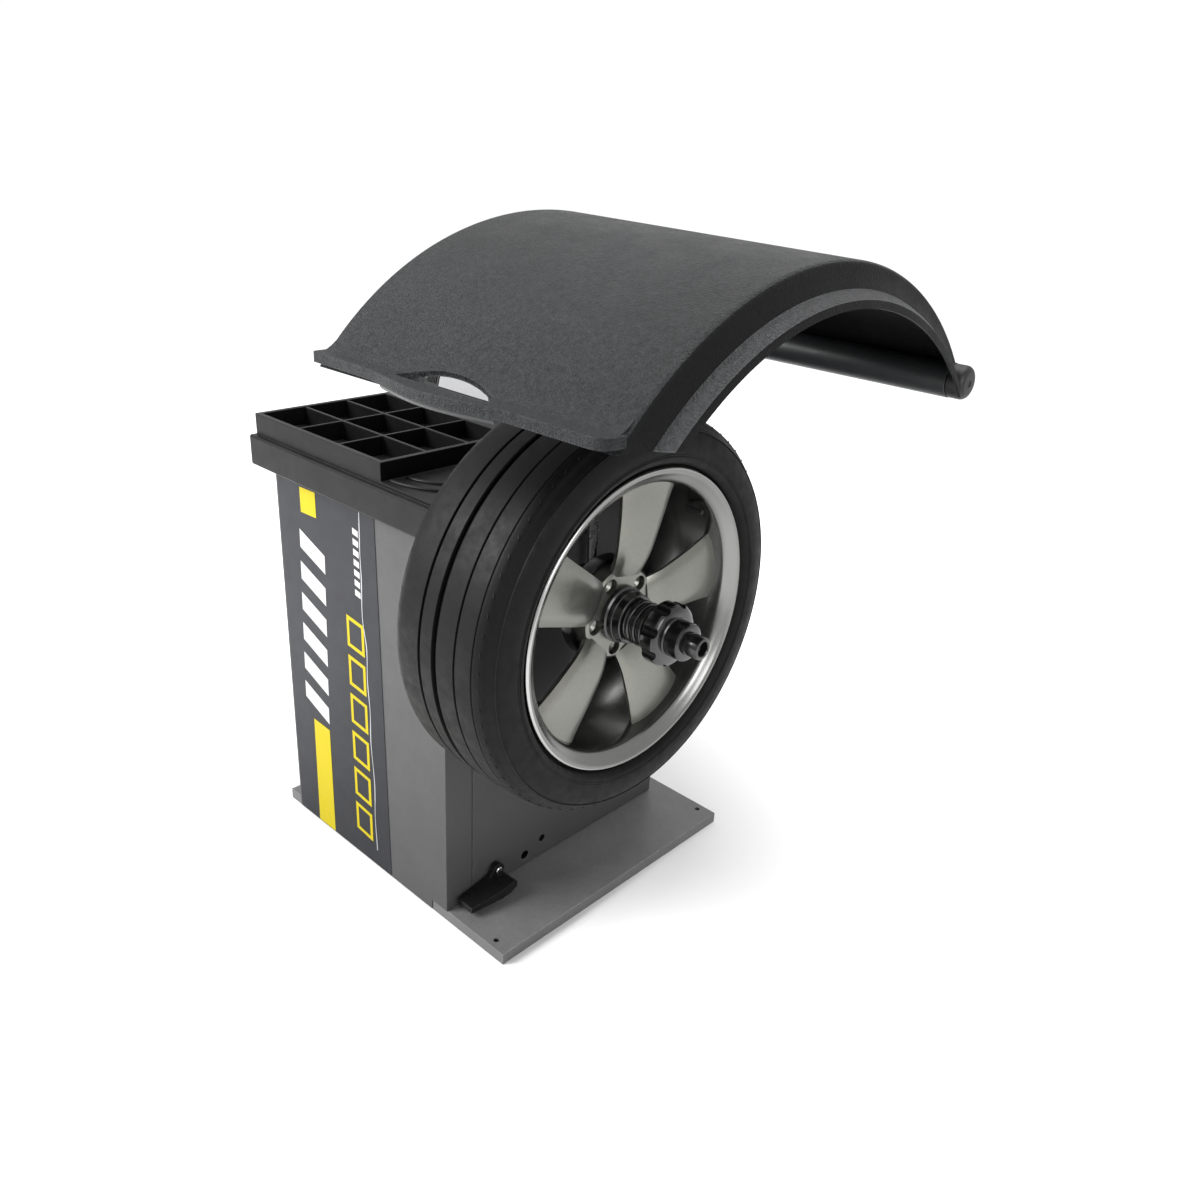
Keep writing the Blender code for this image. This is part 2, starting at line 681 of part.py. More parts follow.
def tyre_outline():
    """Tyre cross-section, open to the rim, as (x, radius)."""
    half = RIM_W / 2
    shoulder = TREAD_W / 2
    outer = half + TYRE_BULGE
    bead = half - 0.009 - GAP
    seat = RIM_SEAT_R + GAP
    crown = [(-shoulder + 0.012, TYRE_R - 0.0025)]
    for x in (-0.045,):
        crown += [(x - 0.005, TYRE_R), (x - 0.004, TYRE_R - GROOVE), (x + 0.004, TYRE_R - GROOVE),
                  (x + 0.005, TYRE_R)]
    crown.append((shoulder - 0.012, TYRE_R - 0.0025))
    mid_r = (RIM_FLANGE_R + TYRE_R) / 2
    low_r = RIM_FLANGE_R + 0.006
    left = [(-bead, seat), (-bead, RIM_FLANGE_R + 0.001), (-outer + 0.007, low_r), (-outer, mid_r - 0.008),
            (-outer + 0.006, mid_r + 0.014), (-shoulder, TYRE_R - 0.011)]
    right = [(-x, r) for x, r in reversed(left)]
    top_in = TYRE_R - TREAD_T
    wall_in = outer - TYRE_WALL
    inside_left = [(-bead + 0.014, seat), (-bead + 0.010, RIM_FLANGE_R + 0.002), (-wall_in + 0.002, mid_r),
                   (-shoulder + 0.012, top_in - 0.004), (-shoulder + 0.030, top_in)]
    inside_right = [(-x, r) for x, r in reversed(inside_left)]
    loop = left + crown + right + inside_right[::-1] + inside_left[::-1]
    return [(WHEEL_MID + x, r) for x, r in loop]


def make_tyre(axis):
    turned("tyre", tyre_outline(), rubber(), axis, closed=True, segments=WHEEL_SEGMENTS)


def make_clamp(axis, nut_axis):
    bore = SHAFT_R + GAP
    rim_touch = HUB_BORE_R - GAP
    big_x, small_x = FACE_X - CONE_BACK, FACE_X + CONE_FRONT
    profile = [(big_x, CONE_BIG_R), (FACE_X, rim_touch), (small_x, CONE_SMALL_R), (small_x, bore),
               (big_x, bore)]
    turned("centering_cone", profile, bare_steel(), axis, closed=True)
    start = FACE_X - FLANGE_T - 0.035 + SPRING_WIRE + GAP
    end = big_x - SPRING_WIRE - GAP
    turns, steps = 3, 10
    points = []
    for i in range(turns * steps + 1):
        angle = 2 * pi * i / steps
        x = start + (end - start) * i / (turns * steps)
        points.append((x, AXIS_Y + SPRING_R * cos(angle), AXIS_Z + SPRING_R * sin(angle)))
    wire("cone_spring", points, SPRING_WIRE, bare_steel(), axis)
    x0, x1 = CUP_X, CUP_X + CUP_L
    profile = [(x0, CUP_R), (x0 + 0.008, CUP_R), (x1, CUP_NECK_R), (x1, bore), (x0 + CUP_HOLLOW, bore),
               (x0 + CUP_HOLLOW, CUP_R - 0.014), (x0, CUP_R - 0.008)]
    turned("pressure_cup", profile, black_plastic(), axis, closed=True)
    a = NUT_X
    b = a + NUT_SLEEVE_L
    c = b + NUT_L
    d = c + NUT_NOSE_L
    bore = SHAFT_R + RUN
    profile = [(a, NUT_SLEEVE_R), (b, NUT_SLEEVE_R), (b, NUT_R - 0.003), (b + 0.003, NUT_R),
               (c - 0.005, NUT_R), (c, NUT_R - 0.006), (c, NUT_NOSE_R), (d - 0.003, NUT_NOSE_R),
               (d, NUT_NOSE_R - 0.003), (d, bore), (a, bore)]
    nut = turned("quick_nut", profile, black_steel(), nut_axis, closed=True)
    for i in range(NUT_LUGS):
        angle = 2 * pi * i / NUT_LUGS
        y, z = AXIS_Y + NUT_SLEEVE_R * cos(angle), AXIS_Z + NUT_SLEEVE_R * sin(angle)
        cut(nut, rod(f"nut_flute_{i}", a + 0.010, b - 0.006, 0.006, y=y, z=z, segments=8))


# ---------------------------------------------------------------- wheel guard
def hood_section():
    """The guard's skin across its width, as (x, radius): turned-in edge, top, side wall, flare."""
    left, right = HOOD_LEFT, HOOD_RIGHT
    top = HOOD_R
    c = HOOD_CORNER
    corner_left = [(left + c - c * cos(a), top - c + c * sin(a)) for a in (0.0, pi / 4, pi / 2)]
    corner_right = [(right - c + c * sin(a), top - c + c * cos(a)) for a in (0.0, pi / 6, pi / 3, pi / 2)]
    foot_x, foot_r = right + HOOD_DRAFT, top - HOOD_BAND
    flare_x, flare_r = foot_x + HOOD_FLARE_X, foot_r - HOOD_FLARE_R
    return [(left, top - HOOD_RETURN), *corner_left, (left + HOOD_W / 2, top), *corner_right,
            (foot_x - 0.001, foot_r + 0.004), (foot_x + 0.003, foot_r), (flare_x - 0.003, flare_r),
            (flare_x, flare_r - 0.003), (flare_x + 0.001, flare_r - HOOD_HEM)]


def hood_fullness(x, u):
    """Extra radius at x, where u runs from the tube to the front lip."""
    across = min(1.0, max(0.0, (HOOD_RIGHT - x) / HOOD_W))
    along = sin(pi / 2 * min(1.0, u / 0.35)) * (1 - 0.3 * max(0.0, (u - 0.7) / 0.3) ** 2)
    return HOOD_FULL * across * along


def hood_skin(name, start, end, steps=30):
    """Open sheet swept round the guard's axis from its section."""
    bm = bmesh.new()
    rows = []
    for i in range(steps + 1):
        a = start + (end - start) * i / steps
        row = []
        for x, r in hood_section():
            r += hood_fullness(x, i / steps)
            row.append(bm.verts.new((x, HOOD_Y + r * cos(a), HOOD_Z + r * sin(a))))
        rows.append(row)
    for p, q in zip(rows, rows[1:]):
        for k in range(len(p) - 1):
            face = bm.faces.new((p[k], q[k], q[k + 1], p[k + 1]))
            face.smooth = True
    return mesh_object(name, bm)


def make_hood(axis):
    """Curved skin with a side wall, a level front lip with a hand hole, and a sleeve for the tube.

    The sleeve lies just inside the curve's back end, and a notch past it makes room for the cap.
    """
    tube_angle = atan2(TUBE_Z - HOOD_Z, TUBE_Y - HOOD_Y)
    start = tube_angle + 0.003
    end = pi - asin((HOOD_FOOT - 0.012) / HOOD_R)
    skin = hood_skin("wheel_hood", start, end)
    shell = skin.modifiers.new("skin", 'SOLIDIFY')
    shell.thickness = HOOD_WALL
    shell.offset = -1.0
    shell.use_even_offset = True
    place(skin, guard_plastic(), axis)
    cut(skin, box("hood_front_trim", (HOOD_LEFT - OVER, HOOD_Y - HOOD_R - 0.1, HOOD_LEVEL - 0.1),
                  (FLARE_X + OVER * 2, HOOD_Y - 0.1, HOOD_LEVEL)))
    join(skin, *hood_lip())
    cut(skin, hand_hole())
    end = sleeve_end()
    join(skin, ring("hood_sleeve", HOOD_LEFT, end, TUBE_R + GAP, SLEEVE_R, y=TUBE_Y, z=TUBE_Z, segments=24))
    cut(skin, rod("sleeve_bore", HOOD_LEFT - OVER, end + OVER, TUBE_R + GAP,
                  y=TUBE_Y, z=TUBE_Z, segments=24))
    cut(skin, rod("cap_room", end, FLARE_X + 2 * OVER, CAP_R + 0.002, y=TUBE_Y, z=TUBE_Z, segments=24))


def sleeve_end():
    return HOOD_RIGHT + 0.002


def lip_front():
    return HOOD_Y - sqrt(HOOD_R ** 2 - (HOOD_FOOT + LIP_RISE) ** 2) - LIP_OUT + 0.008


def hood_lip():
    """Level lip along the front, bulged forward at the grip, and a roll under the grip."""
    z0 = HOOD_LEVEL + LIP_RISE
    front = lip_front()
    rear = front + LIP_OUT - 0.001
    middle = HOOD_LEFT + GRIP_MID
    reach = HAND_W / 2 + 0.045
    bulge = []
    for i in range(1, 16):
        t = -1 + 2 * i / 16
        bulge.append((middle + reach * t, front - GRIP_OUT * (0.5 + 0.5 * cos(pi * t)) ** 0.7))
    r = LIP_CORNER
    corner = arc(HOOD_RIGHT - r, front + r, r, 270, 360, 5)
    outline = [(HOOD_LEFT, rear), (HOOD_LEFT, front + 0.004), (HOOD_LEFT + 0.004, front), *bulge, *corner,
               (HOOD_RIGHT, rear)]
    lip = plate("hood_lip", outline, z0, z0 + LIP_T, 'Z')
    roll = box("hood_grip_roll", (middle - reach * 0.78, front - GRIP_OUT * 0.55, z0 - 0.010),
               (middle + reach * 0.78, front + 0.004, z0 + 0.004))
    return lip, roll


def hand_hole():
    front = lip_front() + 0.006
    middle = HOOD_LEFT + GRIP_MID
    half = HAND_W / 2
    outline = [(middle - half, front + 0.006),
               (middle - half + 0.006, front), (middle + half - 0.006, front),
               (middle + half, front + 0.006)]
    for i in range(1, 12):
        t = 1 - 2 * i / 12
        outline.append((middle + half * t, front + 0.006 + (HAND_D - 0.006) * (1 - t * t) ** 0.5))
    return plate("hand_hole", outline, HOOD_LEVEL - 0.03, HOOD_LEVEL + 0.08, 'Z')


def post_positions():
    return (("left", CAB_LEFT + 0.100), ("right", WALL - 0.060))


def make_hood_hinge(axis):
    tube_left = CAB_LEFT + 0.080
    tube_end = sleeve_end() + GAP
    ring("hinge_tube", tube_left, tube_end, TUBE_R - TUBE_WALL, TUBE_R, black_paint(), axis, TUBE_Y, TUBE_Z,
         24)
    x0 = tube_end + GAP
    x1 = x0 + CAP_L
    plug_r = TUBE_R - TUBE_WALL - GAP
    profile = [(x0 - 0.020, 0.0), (x0 - 0.020, plug_r), (x0, plug_r), (x0, CAP_R), (x1 - 0.008, CAP_R),
               (x1 - 0.002, CAP_R - 0.005), (x1, CAP_R - 0.012), (x1, 0.0)]
    turned("tube_cap", profile, black_plastic(), axis, TUBE_Y, TUBE_Z, segments=24)
    y0 = REAR + GAP
    y1 = y0 + POST_T
    top = TUBE_Z + TUBE_R + POST_TOP
    for name, x in post_positions():
        post = box(f"hood_post_{name}", (x, y0, POST_FOOT), (x + POST_W, y1, top), black_paint())
        head = plate(f"post_head_{name}", [(y0 + 0.002, TUBE_Z - 0.070), (y1 - 0.002, TUBE_Z - 0.070),
                                           (y1 - 0.002, top - 0.001), (TUBE_Y - TUBE_R - 0.010, top - 0.001),
                                           (TUBE_Y - TUBE_R - 0.010, TUBE_Z - 0.030)],
                     x + 0.001, x + POST_W - 0.001, 'X')
        join(post, head)
        cut(post, rod(f"post_bore_{name}", x - OVER, x + POST_W + OVER, TUBE_R + RUN, y=TUBE_Y, z=TUBE_Z))
    left_post = post_positions()[0][1]
    ring("hood_cam", left_post + POST_W + 0.002, left_post + POST_W + 0.014, TUBE_R + GAP, TUBE_R + 0.009,
         bare_steel(), axis, TUBE_Y, TUBE_Z, 24)


def make_hood_spring():
    """Torsion spring round the tube, between the posts; its first turn bears on the right post."""
    right_post = post_positions()[1][1]
    turns, steps = 4, 10
    radius = TUBE_R + 0.007
    end = right_post - 0.004
    start = end - 0.060
    points = []
    for i in range(turns * steps + 1):
        angle = 2 * pi * i / steps
        points.append((start + (end - start) * i / (turns * steps), TUBE_Y + radius * cos(angle),
                       TUBE_Z + radius * sin(angle)))
    wire("hood_spring", points, 0.0028, bare_steel())


def make_hood_switch():
    left_post = post_positions()[0][1]
    x = left_post + POST_W + GAP
    box("hood_switch", (x, REAR + GAP, TUBE_Z - 0.080), (x + 0.022, REAR + 0.030, TUBE_Z - 0.040),
        black_plastic(), bevel=0.002)


# ---------------------------------------------------------------- weight tray
def make_tray():
    lower = box("weight_tray", (TRAY_LEFT, TRAY_FRONT, TRAY_Z), (TRAY_END, TRAY_BACK, TRAY_LEDGE),
                black_plastic(), bevel=0.004)
    upper = box("tray_upper", (TRAY_LEFT + TRAY_STEP, TRAY_FRONT + TRAY_STEP, TRAY_LEDGE - 0.006),
                (TRAY_END - 0.004, TRAY_BACK - 0.004, TRAY_TOP))
    join(lower, upper)
    cut(lower, box("tray_well", (CELL_LEFT, CELL_FRONT, CELL_FLOOR), (CELL_END, CELL_BACK, TRAY_TOP + OVER)))
    cut(lower, box("tray_shelf", (CELL_END + CELL_RIM, TRAY_FRONT - OVER, SHELF_TOP),
                   (TRAY_END + OVER, CELL_BACK, TRAY_TOP + OVER)))
    cut(lower, box("tray_under", (TRAY_LEFT + TRAY_WALL, TRAY_FRONT + TRAY_WALL, TRAY_Z - OVER),
                   (TRAY_END - TRAY_WALL, TRAY_BACK - TRAY_WALL, TRAY_LEDGE - TRAY_WALL)))


def make_tray_dividers():
    """Cross ribs that split the tray's well into compartments."""
    z0, z1 = CELL_FLOOR + GAP, TRAY_TOP - 0.001
    x0, x1 = CELL_LEFT + GAP, CELL_END - GAP
    y0, y1 = CELL_FRONT + GAP, CELL_BACK - GAP
    ribs = []
    for i in range(1, CELLS_Y):
        y = CELL_FRONT + CELL_Y * i
        name = "tray_dividers" if i == 1 else f"divider_x_{i}"
        mat = black_plastic() if i == 1 else None
        ribs.append(box(name, (x0, y - RIB / 2, z0), (x1, y + RIB / 2, z1), mat))
    for i in range(1, CELLS_X):
        x = CELL_LEFT + CELL_X * i
        ribs.append(box(f"divider_y_{i}", (x - RIB / 2, y0, z0), (x + RIB / 2, y1, z1)))
    join(ribs[0], *(ribs[i] for i in (2, 3, 1)))


# ---------------------------------------------------------------- console
def con_turn():
    return ((0.0, CON_FRONT, TRAY_TOP + GAP), -CON_TILT)


def make_console():
    z0 = TRAY_TOP + GAP
    z1 = z0 + CON_H
    lean = CON_H * sin(CON_TILT) / cos(CON_TILT)
    y0, y1 = CON_FRONT, CON_FRONT + CON_D
    outline = [(y0, z0), (y1, z0), (y1, z1 - 0.02), (y1 - 0.02, z1), (y0 + lean, z1)]
    x0, x1 = CON_LEFT, CON_LEFT + CON_W
    housing = plate("console_housing", outline, x0, x1, 'X', black_plastic())
    inset = CON_CHEEK
    pocket = box("console_pocket", (x0 + inset, y0 - OVER, z0 + 0.012), (x1 - inset, y0 + 0.018, z1 - 0.020),
                 turn=con_turn())
    cut(housing, pocket)
    cut(housing, box("console_room", (x0 + inset + 0.012, y0 + 0.014, z0 + 0.020),
                     (x1 - inset - 0.012, y0 + 0.032, z1 - 0.032), turn=con_turn()))
    return x0 + inset + GAP, x1 - inset - GAP, z0 + 0.012 + GAP, z1 - 0.020 - GAP


def key_places(face):
    """Centres of the keys on the face plate, as (name, x, height)."""
    x0, x1, z0, _ = face
    middle = (x0 + x1) / 2
    places = []
    for i in range(KEY_COLUMNS):
        places.append((f"key_{i + 1}", middle + KEY_PITCH * (i - (KEY_COLUMNS - 1) / 2), z0 + 0.068))
    places.append(("stop_key", middle - KEY_PITCH, z0 + 0.030))
    places.append(("start_key", middle + KEY_PITCH, z0 + 0.030))
    return places


def make_face_plate(face):
    x0, x1, z0, z1 = face
    y0 = CON_FRONT + 0.001
    panel = box("face_plate", (x0, y0, z0), (x1, y0 + FACE_T, z1), panel_plastic(), turn=con_turn())
    middle = (x0 + x1) / 2
    z = z1 - 0.018 - WINDOW_H
    for i, side in enumerate((-1, 1)):
        x = middle + side * 0.075
        low = (x - WINDOW_W / 2, y0 - OVER, z)
        high = (x + WINDOW_W / 2, y0 + FACE_T + OVER, z + WINDOW_H)
        cut(panel, box(f"window_hole_{i}", low, high, turn=con_turn()))
        glass = material("display_window", (0.02, 0.005, 0.005), 0.1)
        box(f"display_window_{i + 1}", (low[0] + GAP, y0 + 0.0005, low[2] + GAP),
            (high[0] - GAP, y0 + FACE_T, high[2] - GAP), glass, turn=con_turn())
    for name, x, height in key_places(face):
        cut(panel, key_solid(name + "_hole", x, height, KEY_R + RUN, -OVER, FACE_T + OVER))
    box("display_board", (x0 + 0.014, y0 + FACE_T + 0.012, z0 + 0.014),
        (x1 - 0.014, y0 + FACE_T + 0.014, z1 - 0.018), material("board", (0.02, 0.12, 0.05), 0.5),
        turn=con_turn())


def key_solid(name, x, height, radius, front, back, mat=None, parent=None):
    """A round key or its hole, square to the face plate."""
    obj = spin_object(name, [(front, 0.0), (front, radius), (back, radius), (back, 0.0)], False, 16)
    point, angle = con_turn()
    swing = Matrix.Rotation(angle, 4, 'X')
    spot = Vector((x, CON_FRONT + 0.001, height))
    obj.location = Vector(point) + swing @ (spot - Vector(point))
    obj.rotation_euler = (angle - pi / 2, 0.0, 0.0)
    return place(obj, mat, parent)


def make_keys(face):
    colours = {"start_key": (0.02, 0.25, 0.05), "stop_key": (0.4, 0.02, 0.02)}
    point, angle = con_turn()
    swing = Matrix.Rotation(angle, 4, 'X')
    for name, x, height in key_places(face):
        spot = Vector(point) + swing @ (Vector((x, CON_FRONT + 0.001, height)) - Vector(point))
        guide = pivot(name + "_guide", *spot)
        mat = material(name if name in colours else "key", colours.get(name, (0.05, 0.05, 0.06)), 0.5)
        key_solid(name, x, height, KEY_R, -0.003, FACE_T + 0.003, mat, guide)


# ---------------------------------------------------------------- foot brake
def make_pedal(axis):
    """Pedal outside the wheel-side wall, on a pin that runs through the wall to a crank inside."""
    x0 = WALL + 0.005
    x1 = x0 + PEDAL_W
    outline = [(PIVOT_Y - 0.013, BASE_H + GAP), (PIVOT_Y + 0.013, BASE_H + GAP),
               *arc(PIVOT_Y, PIVOT_Z, 0.013, 0, 180, 8)]
    bearing = plate("pedal_bearing", outline, WALL + GAP, x0 - 0.001, 'X', black_paint())
    cut(bearing, rod("bearing_bore", WALL - OVER, x0 + OVER, PIN_R + RUN,
                     y=PIVOT_Y, z=PIVOT_Z, segments=16))
    inside = WALL - 2 * SHEET - 0.022
    hub_end = x0 + PEDAL_HUB_W
    rod("pedal_pin", inside - 0.004, hub_end + 0.003, PIN_R, bare_steel(), axis, PIVOT_Y, PIVOT_Z, 16)
    low = BASE_H + PEDAL_LIFT
    wedge = [(PEDAL_FRONT, low), (PEDAL_BACK - 0.014, low + 0.006), (PEDAL_BACK, low + 0.014),
             (PEDAL_BACK, low + 0.024), (PEDAL_BACK - 0.006, low + 0.028),
             (PEDAL_FRONT, low + 0.011)]
    pedal = plate("foot_pedal", wedge, x0, x1, 'X', black_plastic(), axis)
    hub = [*arc(PIVOT_Y, PIVOT_Z, PEDAL_HUB_R, 0, 180, 10), (PIVOT_Y - 0.034, low + 0.016),
           (PEDAL_BACK - 0.001, low + 0.016)]
    join(pedal, plate("pedal_hub", hub, x0, hub_end, 'X'))
    taper = [(x1 - 0.012, PEDAL_FRONT - OVER), (x1 + OVER, PEDAL_FRONT - OVER),
             (x1 + OVER, -0.210), (x1 + 0.001, -0.210)]
    cut(pedal, plate("pedal_taper", taper, low - 0.01, low + 0.06, 'Z'))
    cut(pedal, rod("pedal_bore", x0 - OVER, hub_end + OVER, PIN_R + GAP,
                   y=PIVOT_Y, z=PIVOT_Z, segments=16))
    tip = PIVOT_Y + CRANK_L
    outline = [*arc(PIVOT_Y, PIVOT_Z, 0.011, 90, 270, 6), (tip, PIVOT_Z - 0.006), (tip, PIVOT_Z + 0.006)]
    crank = plate("brake_crank", outline, inside, inside + 0.005, 'X', bare_steel(), axis)
    cut(crank, rod("crank_bore", inside - OVER, inside + 0.005 + OVER, PIN_R + GAP, y=PIVOT_Y, z=PIVOT_Z,
                   segments=16))
    return inside, tip


def make_brake(crank_x, crank_y):
    """Caliper astride the brake disc, and the cable that runs up to it from the crank."""
    x0, x1 = DISC_X - 0.014, DISC_X + DISC_T + 0.012
    y0, y1 = AXIS_Y - DISC_R - 0.020, AXIS_Y - DISC_R + 0.026
    z0, z1 = AXIS_Z - 0.022, AXIS_Z + 0.022
    caliper = box("brake_caliper", (x0, y0, z0), (x1, y1, z1), black_paint())
    join(caliper, box("caliper_arm", (CAB_LEFT + SHEET + GAP, y0 + 0.004, z0 + 0.010),
                      (x0 + 0.002, y0 + 0.018, z1 - 0.010)))
    cut(caliper, box("caliper_slot", (DISC_X - 0.002, y0 + 0.012, z0 - OVER),
                     (DISC_X + DISC_T + 0.002, y1 + OVER, z1 + OVER)))
    cable_x = crank_x + 0.0025
    frame_front = AXIS_Y - 0.115
    route = [(cable_x, crank_y - 0.006, PIVOT_Z + 0.012), (cable_x, crank_y - 0.010, 0.140),
             (cable_x, frame_front - 0.010, 0.280), (cable_x - 0.010, frame_front - 0.030, 0.380),
             (0.080, frame_front - 0.032, 0.450), (-0.020, frame_front - 0.028, 0.500),
             ((x0 + x1) / 2, y0 + 0.008, 0.560), ((x0 + x1) / 2, y0 + 0.008, z0 - 0.001)]
    wire("brake_cable", smooth_route(route, 5), CABLE_R, black_plastic())


def smooth_route(route, steps):
    """Catmull-Rom points through a list of route points."""
    ends = [route[0], *route, route[-1]]
    points = []
    for a, b, c, d in zip(ends, ends[1:], ends[2:], ends[3:]):
        for i in range(steps):
            t = i / steps
            points.append(tuple(0.5 * (2 * q + (r - p) * t + (2 * p - 5 * q + 4 * r - w) * t * t
                                       + (3 * q - p - 3 * r + w) * t ** 3)
                                for p, q, r, w in zip(a, b, c, d)))
    return points + [route[-1]]


# ---------------------------------------------------------------- rim gauge
def make_gauge(carriage_axis, arm_axis):
    """A rod with an arm outside the wall; inside it turns in a carriage that slides on a rail."""
    y, z = GAUGE_Y, GAUGE_Z
    inner = WALL - GAUGE_IN
    outer = WALL + GAUGE_OUT
    bush = [(WALL - SHEET - 0.010, GAUGE_R + RUN), (WALL - SHEET - 0.010, GAUGE_R + 0.0095),
            (WALL + GAP, GAUGE_R + 0.0095), (WALL + GAP, GAUGE_R + 0.014), (WALL + 0.005, GAUGE_R + 0.014),
            (WALL + 0.005, GAUGE_R + RUN)]
    turned("gauge_bush", bush, black_plastic(), None, y, z, True, 24)
    bar = rod("gauge_rod", inner, outer - 0.001, GAUGE_R, bare_steel(), arm_axis, y, z)
    block0, block1 = inner + 0.006, inner + 0.030
    join(bar, rod("gauge_collar_in", inner + 0.0005, block0 - GAP, GAUGE_R + 0.004, y=y, z=z))
    join(bar, rod("gauge_collar_out", block1 + GAP, block1 + 0.005, GAUGE_R + 0.004, y=y, z=z))
    tip = z - GAUGE_ARM
    outline = [*arc(y, z, 0.012, 0, 180, 8), *arc(y, tip, 0.006, 180, 360, 6)]
    join(bar, plate("gauge_arm", outline, outer - 0.006, outer, 'X'))
    join(bar, rod("gauge_tip", outer - 0.002, outer + 0.008, 0.0055, y=y, z=tip, segments=12))
    block = box("gauge_carriage", (block0, y - 0.016, z - 0.015), (block1, y + RAIL_OFF + 0.010, z + 0.015),
                black_plastic(), carriage_axis)
    cut(block, rod("carriage_bore", block0 - OVER, block1 + OVER, GAUGE_R + RUN, y=y, z=z))
    cut(block, rod("rail_bore", block0 - OVER, block1 + OVER, RAIL_R + RUN,
                   y=y + RAIL_OFF, z=z, segments=16))
    rod("gauge_rail", inner - 0.012, WALL - SHEET - GAP, RAIL_R, bare_steel(), None, y + RAIL_OFF, z, 16)


# ---------------------------------------------------------------- electrics
def make_electrics(rocker_axis):
    x0, x1 = MAINS_X - MAINS_W / 2, MAINS_X + MAINS_W / 2
    y0, y1 = REAR + GAP, REAR + MAINS_T
    module = box("mains_module", (x0, y0, MAINS_Z), (x1, y1, MAINS_Z + MAINS_H), black_plastic())
    cut(module, box("mains_socket", (MAINS_X - 0.012, y1 - 0.016, MAINS_Z + 0.010),
                    (MAINS_X + 0.012, y1 + OVER, MAINS_Z + 0.026)))
    z = rocker_height()
    cut(module, box("rocker_window", (MAINS_X - 0.010, y1 - 0.016, z - 0.0155),
                    (MAINS_X + 0.010, y1 + OVER, z + 0.0155)))
    y = y1 - 0.007
    outline = [(y - 0.005, z - 0.009), (y + 0.0125, z - 0.0115), (y + 0.0075, z + 0.001),
               (y + 0.0065, z + 0.0115), (y - 0.005, z + 0.009)]
    plate("power_rocker", outline, MAINS_X - 0.0092, MAINS_X + 0.0092, 'X',
          material("rocker_red", (0.35, 0.02, 0.02), 0.4), rocker_axis)
    wall = CAB_LEFT + SHEET + GAP
    box("control_box", (wall, -0.06, 0.36), (wall + 0.045, 0.14, 0.58), black_plastic())


def rocker_height():
    return MAINS_Z + MAINS_H - 0.024


def main():
    global PARTS, CUTTERS
    clear_scene()
    PARTS = new_collection("wheel_balancer")
    CUTTERS = new_collection("cutters")
    make_base()
    make_cabinet_body()
    make_front_panel()
    make_front_decal()
    make_side_panel()
    make_rear_cover()
    spindle = pivot("spindle_axis", FACE_X, AXIS_Y, AXIS_Z)
    nut = pivot("nut_axis", NUT_X, AXIS_Y, AXIS_Z)
    motor = pivot("motor_axis", PULLEY_X, AXIS_Y, MOTOR_Z)
    hinge = pivot("hood_hinge", HOOD_LEFT, TUBE_Y, TUBE_Z)
    pedal = pivot("pedal_pivot", WALL, PIVOT_Y, PIVOT_Z)
    carriage = pivot("gauge_slide_axis", WALL, GAUGE_Y, GAUGE_Z)
    arm = pivot("gauge_arm_axis", WALL, GAUGE_Y, GAUGE_Z)
    rocker = pivot("rocker_pivot", MAINS_X, REAR + MAINS_T - 0.007, rocker_height())
    make_support_frame()
    make_bearing_housing()
    make_spindle(spindle)
    make_motor(motor)
    make_belt()
    make_wheel(spindle)
    make_tyre(spindle)
    make_clamp(spindle, nut)
    make_hood(hinge)
    make_hood_hinge(hinge)
    make_hood_spring()
    make_hood_switch()
    make_tray()
    make_tray_dividers()
    face = make_console()
    make_face_plate(face)
    make_keys(face)
    make_brake(*make_pedal(pedal))
    make_gauge(carriage, arm)
    make_electrics(rocker)


main()
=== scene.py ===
"""Looks of a workshop wheel balancer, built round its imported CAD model.

Axes: +X along the spindle towards the wheel, +Y to the back, +Z up. Lengths are in metres.
"""
import json

import bmesh
import bpy
from math import asin, atan2, cos, hypot, pi, radians, sin, sqrt
from mathutils import Matrix, Vector


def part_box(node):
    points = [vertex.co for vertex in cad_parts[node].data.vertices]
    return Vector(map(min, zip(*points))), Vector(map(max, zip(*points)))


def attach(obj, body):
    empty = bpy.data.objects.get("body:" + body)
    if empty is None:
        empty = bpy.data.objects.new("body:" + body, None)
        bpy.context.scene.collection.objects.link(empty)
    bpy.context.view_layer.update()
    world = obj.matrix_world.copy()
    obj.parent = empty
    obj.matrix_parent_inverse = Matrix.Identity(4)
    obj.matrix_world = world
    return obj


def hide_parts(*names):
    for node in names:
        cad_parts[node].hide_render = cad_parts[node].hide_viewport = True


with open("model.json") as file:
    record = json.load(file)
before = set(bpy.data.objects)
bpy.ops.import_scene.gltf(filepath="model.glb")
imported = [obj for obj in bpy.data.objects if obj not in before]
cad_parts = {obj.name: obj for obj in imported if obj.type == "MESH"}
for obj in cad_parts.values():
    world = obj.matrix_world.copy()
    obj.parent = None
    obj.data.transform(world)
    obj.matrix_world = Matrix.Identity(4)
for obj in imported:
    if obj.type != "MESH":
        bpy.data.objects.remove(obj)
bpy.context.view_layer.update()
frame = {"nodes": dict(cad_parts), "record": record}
NODES = frame["nodes"]
BODIES = frame["record"]["behaviour"]["bodies"]
BODY_OF = {node: body for body, nodes in BODIES.items() for node in nodes}
SLOT_OF = {row["node"]: row["material_slot"] for row in frame["record"]["subparts"]}
JOINTS = {joint["name"]: joint for joint in frame["record"]["behaviour"]["joints"]}
FACE_X, AXIS_Y, AXIS_Z = JOINTS["spindle_spin"]["pos_m"]
HOOD_LEFT, TUBE_Y, TUBE_Z = JOINTS["hood_hinge"]["pos_m"]


